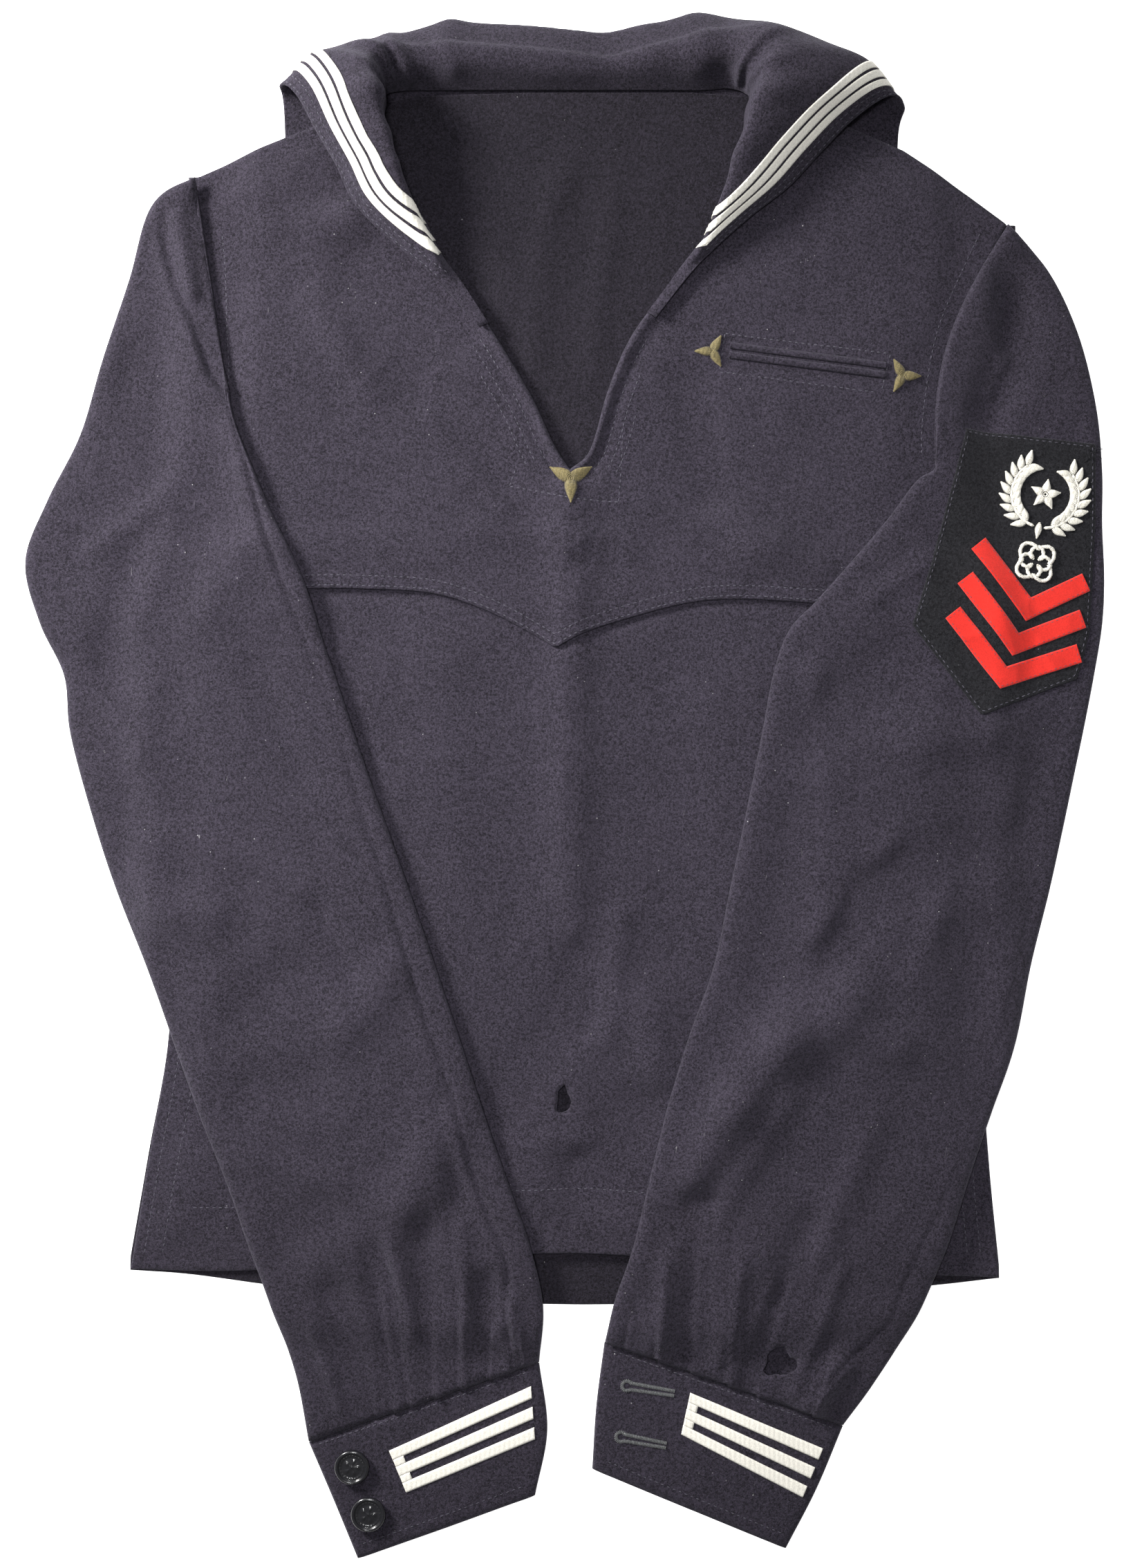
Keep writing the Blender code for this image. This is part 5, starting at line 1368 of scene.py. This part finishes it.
def buttonhole(name, pair, height, fin):
    """A keyhole buttonhole: close purl stitches around a slot with a round eye at one end."""
    a, b = xy(pair)
    run = (b - a) / np.linalg.norm(b - a)
    across = np.array([-run[1], run[0]])
    angle = np.radians(np.linspace(40, 320, 16))
    eye = a + 2.3 * (np.outer(np.cos(angle), run) + np.outer(np.sin(angle), across))
    path = np.vstack([b + across, eye, b - across])
    path = walked(path, int(line_length(path) / 0.62))
    pieces = []
    heading = np.gradient(path, axis=0)
    heading /= np.linalg.norm(heading, axis=1, keepdims=True)
    for spot, head in zip(path, heading):
        out = np.array([head[1], -head[0]])
        plan = np.array([spot + out * s for s in (-0.95, -0.45, 0.1, 0.7, 1.25)])
        z = height(plan[:, 0], plan[:, 1]) + np.array([-0.15, 0.25, 0.4, 0.25, -0.15])
        pieces.append(tread(name, np.column_stack([plan, z]), 0.6, fin["buttonhole_twist"], around=5))
    return join(pieces, name)


def gloss_button(name, place, finish):
    """A turned black button: a raised rim, a roped ring inside it and a plain rosette in the middle."""
    radius, low = BUTTON_DIAMETER / 2, CUFF_HEIGHT + SEAM_GAP
    line = spline([(r * radius, low + BUTTON_HEIGHT * h) for r, h in BUTTON_PROFILE], 5)
    turns = 72
    angle = np.arange(turns) / turns * 2 * pi
    r, out = line[:, :1] / radius, line[:, :1]
    rope = 0.16 * np.sin(22 * angle) * bell(r - 0.66, 0.05)
    petals = 0.42 * np.clip(np.cos(5 * angle), 0, 1) ** 0.7 * bell(r - 0.34, 0.13)
    lift = rope + petals + 0.35 * bell(r, 0.11)
    grid = np.stack([place.x + out * np.cos(angle), place.y + out * np.sin(angle),
                     line[:, 1:] + lift * (out > 0.01)], axis=-1)
    faces = facing(grid, grid_faces(len(line), turns, closed=True), (0, 0, -1))
    return link(mesh_of(name, grid, faces), name, finish)


def make_badge(fin):
    """The badge on the left sleeve: its ground, three chevrons and an embroidered spray, star and knot."""
    top = tube_top(SLEEVE_LEFT, body_top, TUBE_HEIGHT, left_lift)

    def ground(x, y):
        return top(x, y) + 0.25

    outline = walked(closed(xy(BADGE_PATCH)), 120)[:-1]
    patch = badge_ground("badge_ground", ground, fin["badge_cloth"])

    def face(x, y):
        return ground(x, y) + 0.8

    chevrons, sewing = [], []
    for k, points in enumerate(CHEVRONS):
        chevrons.append(chevron_cloth(f"chevron_felt_{k + 1}", points, face, fin["red_felt"]))
        sewing.append(closed(shrunk(chevron_outline(points), 1.0)))
    badge_sewing = stitched("badge_sewing", [closed(shrunk(outline, 1.6))], face, fin["sewing_thread"])
    felt_sewing = stitched("chevron_sewing", sewing, lambda x, y: face(x, y) + 0.85, fin["sewing_thread"],
                           pitch=2.6, length=1.7, thick=0.35)
    spray, star, knot = (embroider("satin_" + part, face, fin["white_embroidery"]) for part, embroider in
                         (("spray", embroider_spray), ("star", embroider_star), ("knot", embroider_knot)))
    fit(patch, ["badge_patch"], polygon_area(outline))
    for k, piece in enumerate(chevrons):
        fit(piece, [f"chevron_{k + 1}"])
    fit(badge_sewing, ())
    fit(felt_sewing, ())
    for piece, node in ((spray, "badge_spray"), (star, "badge_star"), (knot, "badge_knot")):
        fit(piece, [node])


def badge_ground(name, height, finish):
    """The badge's ground, stretched between its four sides by Coons's formula."""
    p = xy(BADGE_PATCH)
    u, v = crowded(PATCH_WIDE, 1.8), crowded(PATCH_TALL, 1.8)
    top, bottom = chain(p[[0, 1]], u), chain(p[[6, 5, 4]], u)
    left, right = chain(p[[0, 7, 6]], v), chain(p[[1, 2, 3, 4]], v)
    s, t = u[None, :, None], v[:, None, None]
    corners = (1 - s) * (1 - t) * p[0] + s * (1 - t) * p[1] + s * t * p[4] + (1 - s) * t * p[6]
    plan = (1 - t) * top[None] + t * bottom[None] + (1 - s) * left[:, None] + s * right[:, None] - corners
    x, y = plan[..., 0], plan[..., 1]
    near = np.minimum(np.minimum(u, 1 - u)[None, :] * PATCH_WIDE, np.minimum(v, 1 - v)[:, None] * PATCH_TALL)
    z = height(x, y) + 0.8 - edge_drop(near, 0.45, 1.0)
    return walled(name, np.stack([x, y, z], axis=-1), 0.75, finish, -1, (0, 0, 1))


def chain(points, shares):
    """Places along a line of points, each given by its share of the length."""
    length = distances(points)
    return np.column_stack([np.interp(shares * length[-1], length, points[:, k]) for k in range(2)])


def chevron_outline(points):
    """The outline of a stripe of one width along three points."""
    a, b, c = xy(points)
    left = np.array([-(b - a)[1], (b - a)[0]]) / np.linalg.norm(b - a)
    right = np.array([-(c - b)[1], (c - b)[0]]) / np.linalg.norm(c - b)
    corner = (left + right) / (1 + left @ right)
    w = CHEVRON_WIDTH
    return np.array([a, a + left * w, b + corner * w, c + right * w, c, b])


def chevron_cloth(name, points, height, finish):
    """A stripe of felt: rows across its width, along both arms."""
    a, a2, b2, c2, c, b = chevron_outline(points)
    v = crowded(CHEVRON_WIDTH, 1.2)[:, None, None]
    first, second = crowded(np.linalg.norm(b - a), 1.4), crowded(np.linalg.norm(c - b), 1.4)
    near_edge = np.vstack([a + (b - a) * s for s in first] + [b + (c - b) * s for s in second[1:]])
    far_edge = np.vstack([a2 + (b2 - a2) * s for s in first] + [b2 + (c2 - b2) * s for s in second[1:]])
    plan = near_edge[None] * (1 - v) + far_edge[None] * v
    x, y = plan[..., 0], plan[..., 1]
    across = np.minimum(v[..., 0], 1 - v[..., 0]) * CHEVRON_WIDTH
    z = height(x, y) + 0.85 - edge_drop(across, 0.4, 0.8)
    return walled(name, np.stack([x, y, z], axis=-1), 0.8, finish, -1, (0, 0, 1))


def toward(angle):
    """The direction at an angle in radians, or the directions at several."""
    return np.stack([np.cos(angle), np.sin(angle)], axis=-1)


def turned(points, centre):
    """Points given around the middle of a part of the badge, turned with it and moved to that centre."""
    along_x, along_y = toward(np.radians(BADGE_TURN)), toward(np.radians(BADGE_TURN + 90))
    return np.asarray(points, float) @ np.array([along_x, along_y]) + centre


def leaf(name, ends, centre, *shape):
    """A leaf of satin stitch between two ends given around the middle of a part of the badge."""
    return satin(name, *turned(ends, centre), *shape)


def satin(name, start, end, wide, height, finish, bulge=1.1, blunt=0.75):
    """A leaf of satin stitch from one point to another: close threads laid across it."""
    start, end = np.asarray(start, float), np.asarray(end, float)
    run = end - start
    long = np.linalg.norm(run)
    run /= long
    across = np.array([-run[1], run[0]])
    threads = []
    for s in np.arange(THREAD_PITCH * 0.4, long, THREAD_PITCH):
        reach = s / long
        half = wide / 2 * np.sin(pi * min(reach ** blunt, 0.985))
        t = np.linspace(-1, 1, 7)
        plan = start + run * s + np.outer(t, across) * half + np.outer((1 - np.abs(t)) * half * 0.45, run)
        full = np.sqrt(np.clip(1 - t * t, 0, 1)) * (half * 2 / wide + 0.2)
        z = height(plan[:, 0], plan[:, 1]) + 0.15 + bulge * full
        threads.append(tread(name, np.column_stack([plan, z]), THREAD_PITCH * 1.25, finish, around=5))
    return threads


def embroider_spray(name, height, finish):
    """Two leafy branches that rise from one stem."""
    threads = []
    for sign in (-1, 1):
        angles = np.radians(270 + sign * np.linspace(8, 138, 40))
        stem = turned(0.82 * SPRAY_RADIUS * toward(angles), SPRAY_CENTRE)
        z = height(stem[:, 0], stem[:, 1]) + 0.5
        threads.append(tread(name, np.column_stack([stem, z]), 1.5, finish, around=8))
        for a in np.radians(270 + sign * np.linspace(22, 136, 9)):
            out, grow = toward(a), toward(a + sign * pi / 2)
            base = 0.82 * SPRAY_RADIUS * out
            for turn_out in (0.75, -0.75):
                tip = base + (grow * 0.85 + out * turn_out) * SPRAY_RADIUS * 0.36
                threads += leaf(name, (base, tip), SPRAY_CENTRE, SPRAY_RADIUS * 0.2, height, finish, 0.9)
    stalk = np.array([(0, -0.7), (0, -1.1)]) * SPRAY_RADIUS
    return join(threads + leaf(name, stalk, SPRAY_CENTRE, 3.6, height, finish, 1.0), name)


def embroider_star(name, height, finish):
    """Five short satin leaves around one point."""
    threads = []
    for k in range(5):
        tip = STAR_RADIUS * toward(np.radians(90 + 72 * k))
        threads += leaf(name, (tip * 0.04, tip), SPRAY_CENTRE, STAR_RADIUS * 0.62, height, finish, 1.1, 0.6)
    return join(threads, name)


def embroider_knot(name, height, finish):
    """A flat rope knot of four loops, with a small satin leaf in each loop."""
    theta = np.linspace(0, 2 * pi, 181)
    threads = []
    for size, phase in ((0.86, 0.0), (0.62, pi / 4)):
        reach = KNOT_RADIUS * size * (0.62 + 0.38 * np.abs(np.cos(2 * (theta - pi / 4 + phase))) ** 1.2)
        plan = turned(reach[:, None] * toward(theta), KNOT_CENTRE)
        weave = 0.35 * np.sin(8 * theta + phase * 4)
        for twist in (0, pi):
            coil = 0.5 * np.sin(38 * theta + twist)
            away = beside_line(plan, 1.0) - plan
            place = plan + away * coil[:, None]
            z = height(place[:, 0], place[:, 1]) + 0.75 + weave + 0.3 * np.cos(38 * theta + twist)
            threads.append(tread(name, np.column_stack([place, z]), 1.15, finish, around=6))
    for k in range(4):
        tip = KNOT_RADIUS * toward(np.radians(45 + 90 * k))
        threads += leaf(name, (tip * 0.12, tip * 0.5), KNOT_CENTRE, 2.6, height, finish, 0.8)
    return join(threads, name)


def hang(lamp, place, **settings):
    """Puts a lamp with its settings at a place in metres, and aims it at the middle of the scene."""
    for name, value in settings.items():
        setattr(lamp, name, value)
    thing = bpy.data.objects.new(lamp.name, lamp)
    bpy.context.scene.collection.objects.link(thing)
    thing.location = place
    thing.rotation_euler = (-Vector(place)).to_track_quat("-Z", "Y").to_euler()


def make_stage(sizes):
    """The white surface, the light and the camera straight above."""
    ends = (-FLOOR_REACH, FLOOR_REACH)
    corners = np.array([(x, y, -FLOOR_LOW) for y in ends for x in ends], float)
    floor = link(mesh_of("floor", corners, np.array([[0, 1, 3, 2]]), None, False), "floor", white_surface())
    scene = bpy.context.scene
    scene.world = bpy.data.worlds.new("studio")
    scene.world.use_nodes = True
    even = scene.world.node_tree.nodes["Background"]
    even.inputs["Color"].default_value = (1.0, 1.0, 1.0, 1)
    even.inputs["Strength"].default_value = sizes.fill
    for name, (place, size, share, code) in SOFT_LAMPS.items():
        hang(bpy.data.lights.new(name, "AREA"), place, shape="DISK", size=size, energy=sizes.key * share,
             color=linear(code)[:3])
    hang(bpy.data.lights.new("glow", "SPOT"), GLOW_PLACE, energy=sizes.glow, spot_size=GLOW_ANGLE,
         spot_blend=1.0, shadow_soft_size=GLOW_SOFT)
    eye = bpy.data.cameras.new("eye")
    eye.sensor_fit, eye.sensor_height = "VERTICAL", SENSOR
    eye.lens = SENSOR * CAMERA_HEIGHT / VIEW_TALL
    eye.clip_start, eye.clip_end = 0.05, 20.0
    camera = bpy.data.objects.new("eye", eye)
    scene.collection.objects.link(camera)
    camera.location = (CAMERA_X * MM, CAMERA_Y * MM, CAMERA_HEIGHT * MM)
    scene.camera = camera
    scene.view_settings.view_transform = "Standard"


def white_surface():
    """Matt white paper that also shines a little, so that only faint shadows show on it."""
    finish, put, place = blank("white_paper_matt")
    cloudy = put("TexNoise", "Fac", {"Vector": place, **PAPER_GRAIN})
    tone = put("Mix", 2, {0: cloudy, 6: linear("#F7F7F7"), 7: linear("#FAFAFA")}, **COLOURS)
    put(SHADER, 0, {"Base Color": tone, "Roughness": 0.9, "Specular IOR Level": 0.1,
                    "Emission Color": linear("#FFFFFF"), "Emission Strength": PAPER_GLOW})
    return finish


def loose_threads(fin):
    """A few frayed threads at the badge's outer upper corner."""
    random = np.random.default_rng(7)
    top = tube_top(SLEEVE_LEFT, body_top, TUBE_HEIGHT, left_lift)
    threads = []
    for k in range(9):
        start = np.array([256.5, 168.0]) + random.uniform(-2.0, 1.6, 2)
        heading = random.uniform(-1.9, 0.5)
        steps = np.arange(7)[:, None] * random.uniform(0.7, 1.3)
        sway = np.cumsum(random.normal(0, 0.28, 7))
        plan = start + steps * toward(heading + sway * 0.3)
        plan[:, 0] = np.minimum(plan[:, 0], 262.5)
        z = top(plan[:, 0], plan[:, 1]) + 1.2 + 0.1 * k
        path = np.column_stack([plan, z])
        threads.append(tread("frayed_threads", path, 0.35, fin["badge_cloth"], around=5))
    return fit(join(threads, "frayed_threads"), ())


class JumperSizes(bpy.types.PropertyGroup):
    """Sizes and colours of the jumper that a user would change."""
    cloth_colour: bpy.props.FloatVectorProperty(
        name="Cloth", description="Colour of the navy wool where the light meets its nap", subtype="COLOR",
        default=linear("#302C36")[:3], min=0, max=1)
    badge_colour: bpy.props.FloatVectorProperty(
        name="Badge ground", description="Colour of the badge's dark serge", subtype="COLOR",
        default=linear("#1E1E21")[:3], min=0, max=1)
    tape_colour: bpy.props.FloatVectorProperty(
        name="Tape", description="Colour of the white tape", subtype="COLOR",
        default=linear("#EFECE2")[:3], min=0, max=1)
    felt_colour: bpy.props.FloatVectorProperty(
        name="Chevrons", description="Colour of the red felt", subtype="COLOR",
        default=linear("#DD3027")[:3], min=0, max=1)
    key: bpy.props.FloatProperty(
        name="Key light", description="Power of the large soft light at the upper left", default=31.0, min=0,
        subtype="POWER", unit="POWER")
    glow: bpy.props.FloatProperty(
        name="Middle light", description="Power of the light that brightens the middle", default=52.0, min=0,
        subtype="POWER", unit="POWER")
    fill: bpy.props.FloatProperty(
        name="Fill", description="Strength of the even light from all round", default=0.19, min=0)


def props():
    """The scene's sizes and colours."""
    return bpy.context.scene.jumper


class JUMPER_OT_body(bpy.types.Operator):
    """Makes the back, the lower front and the yoke with their sewing"""
    bl_idname = "jumper.body"
    bl_label = "Body"

    def execute(self, context):
        make_body(finishes(props()))
        return {"FINISHED"}


class JUMPER_OT_collar(bpy.types.Operator):
    """Makes the collar with its tapes"""
    bl_idname = "jumper.collar"
    bl_label = "Collar"

    def execute(self, context):
        make_collar(finishes(props()))
        return {"FINISHED"}


class JUMPER_OT_sleeves(bpy.types.Operator):
    """Makes both sleeves"""
    bl_idname = "jumper.sleeves"
    bl_label = "Sleeves"

    def execute(self, context):
        make_sleeves(finishes(props()))
        return {"FINISHED"}


class JUMPER_OT_cuffs(bpy.types.Operator):
    """Makes both cuffs with tapes, buttons and buttonholes"""
    bl_idname = "jumper.cuffs"
    bl_label = "Cuffs"

    def execute(self, context):
        make_cuffs(finishes(props()))
        return {"FINISHED"}


class JUMPER_OT_badge(bpy.types.Operator):
    """Makes the badge on the left sleeve"""
    bl_idname = "jumper.badge"
    bl_label = "Badge"

    def execute(self, context):
        fin = finishes(props())
        make_badge(fin)
        loose_threads(fin)
        return {"FINISHED"}


class JUMPER_OT_stage(bpy.types.Operator):
    """Makes the white surface, the light and the camera"""
    bl_idname = "jumper.stage"
    bl_label = "Stage"

    def execute(self, context):
        make_stage(props())
        return {"FINISHED"}


OPERATORS = (JUMPER_OT_stage, JUMPER_OT_body, JUMPER_OT_collar, JUMPER_OT_sleeves, JUMPER_OT_cuffs,
             JUMPER_OT_badge)


class JUMPER_PT_panel(bpy.types.Panel):
    """Lists the jumper's sizes, colours and pieces"""
    bl_idname = "JUMPER_PT_panel"
    bl_label = "Sailor Jumper"
    bl_space_type = "VIEW_3D"
    bl_region_type = "UI"
    bl_category = "Jumper"

    def draw(self, context):
        for name in JumperSizes.__annotations__:
            self.layout.prop(context.scene.jumper, name)
        for operator in OPERATORS:
            self.layout.operator(operator.bl_idname)


CLASSES = (JumperSizes, *OPERATORS, JUMPER_PT_panel)


def register():
    for cls in CLASSES:
        bpy.utils.register_class(cls)
    bpy.types.Scene.jumper = bpy.props.PointerProperty(type=JumperSizes)


def unregister():
    del bpy.types.Scene.jumper
    for cls in reversed(CLASSES):
        bpy.utils.unregister_class(cls)


def main():
    """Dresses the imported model."""
    register()
    bpy.ops.jumper.stage()
    bpy.ops.jumper.body()
    bpy.ops.jumper.collar()
    bpy.ops.jumper.sleeves()
    bpy.ops.jumper.cuffs()
    bpy.ops.jumper.badge()


if __name__ == "__main__":
    main()
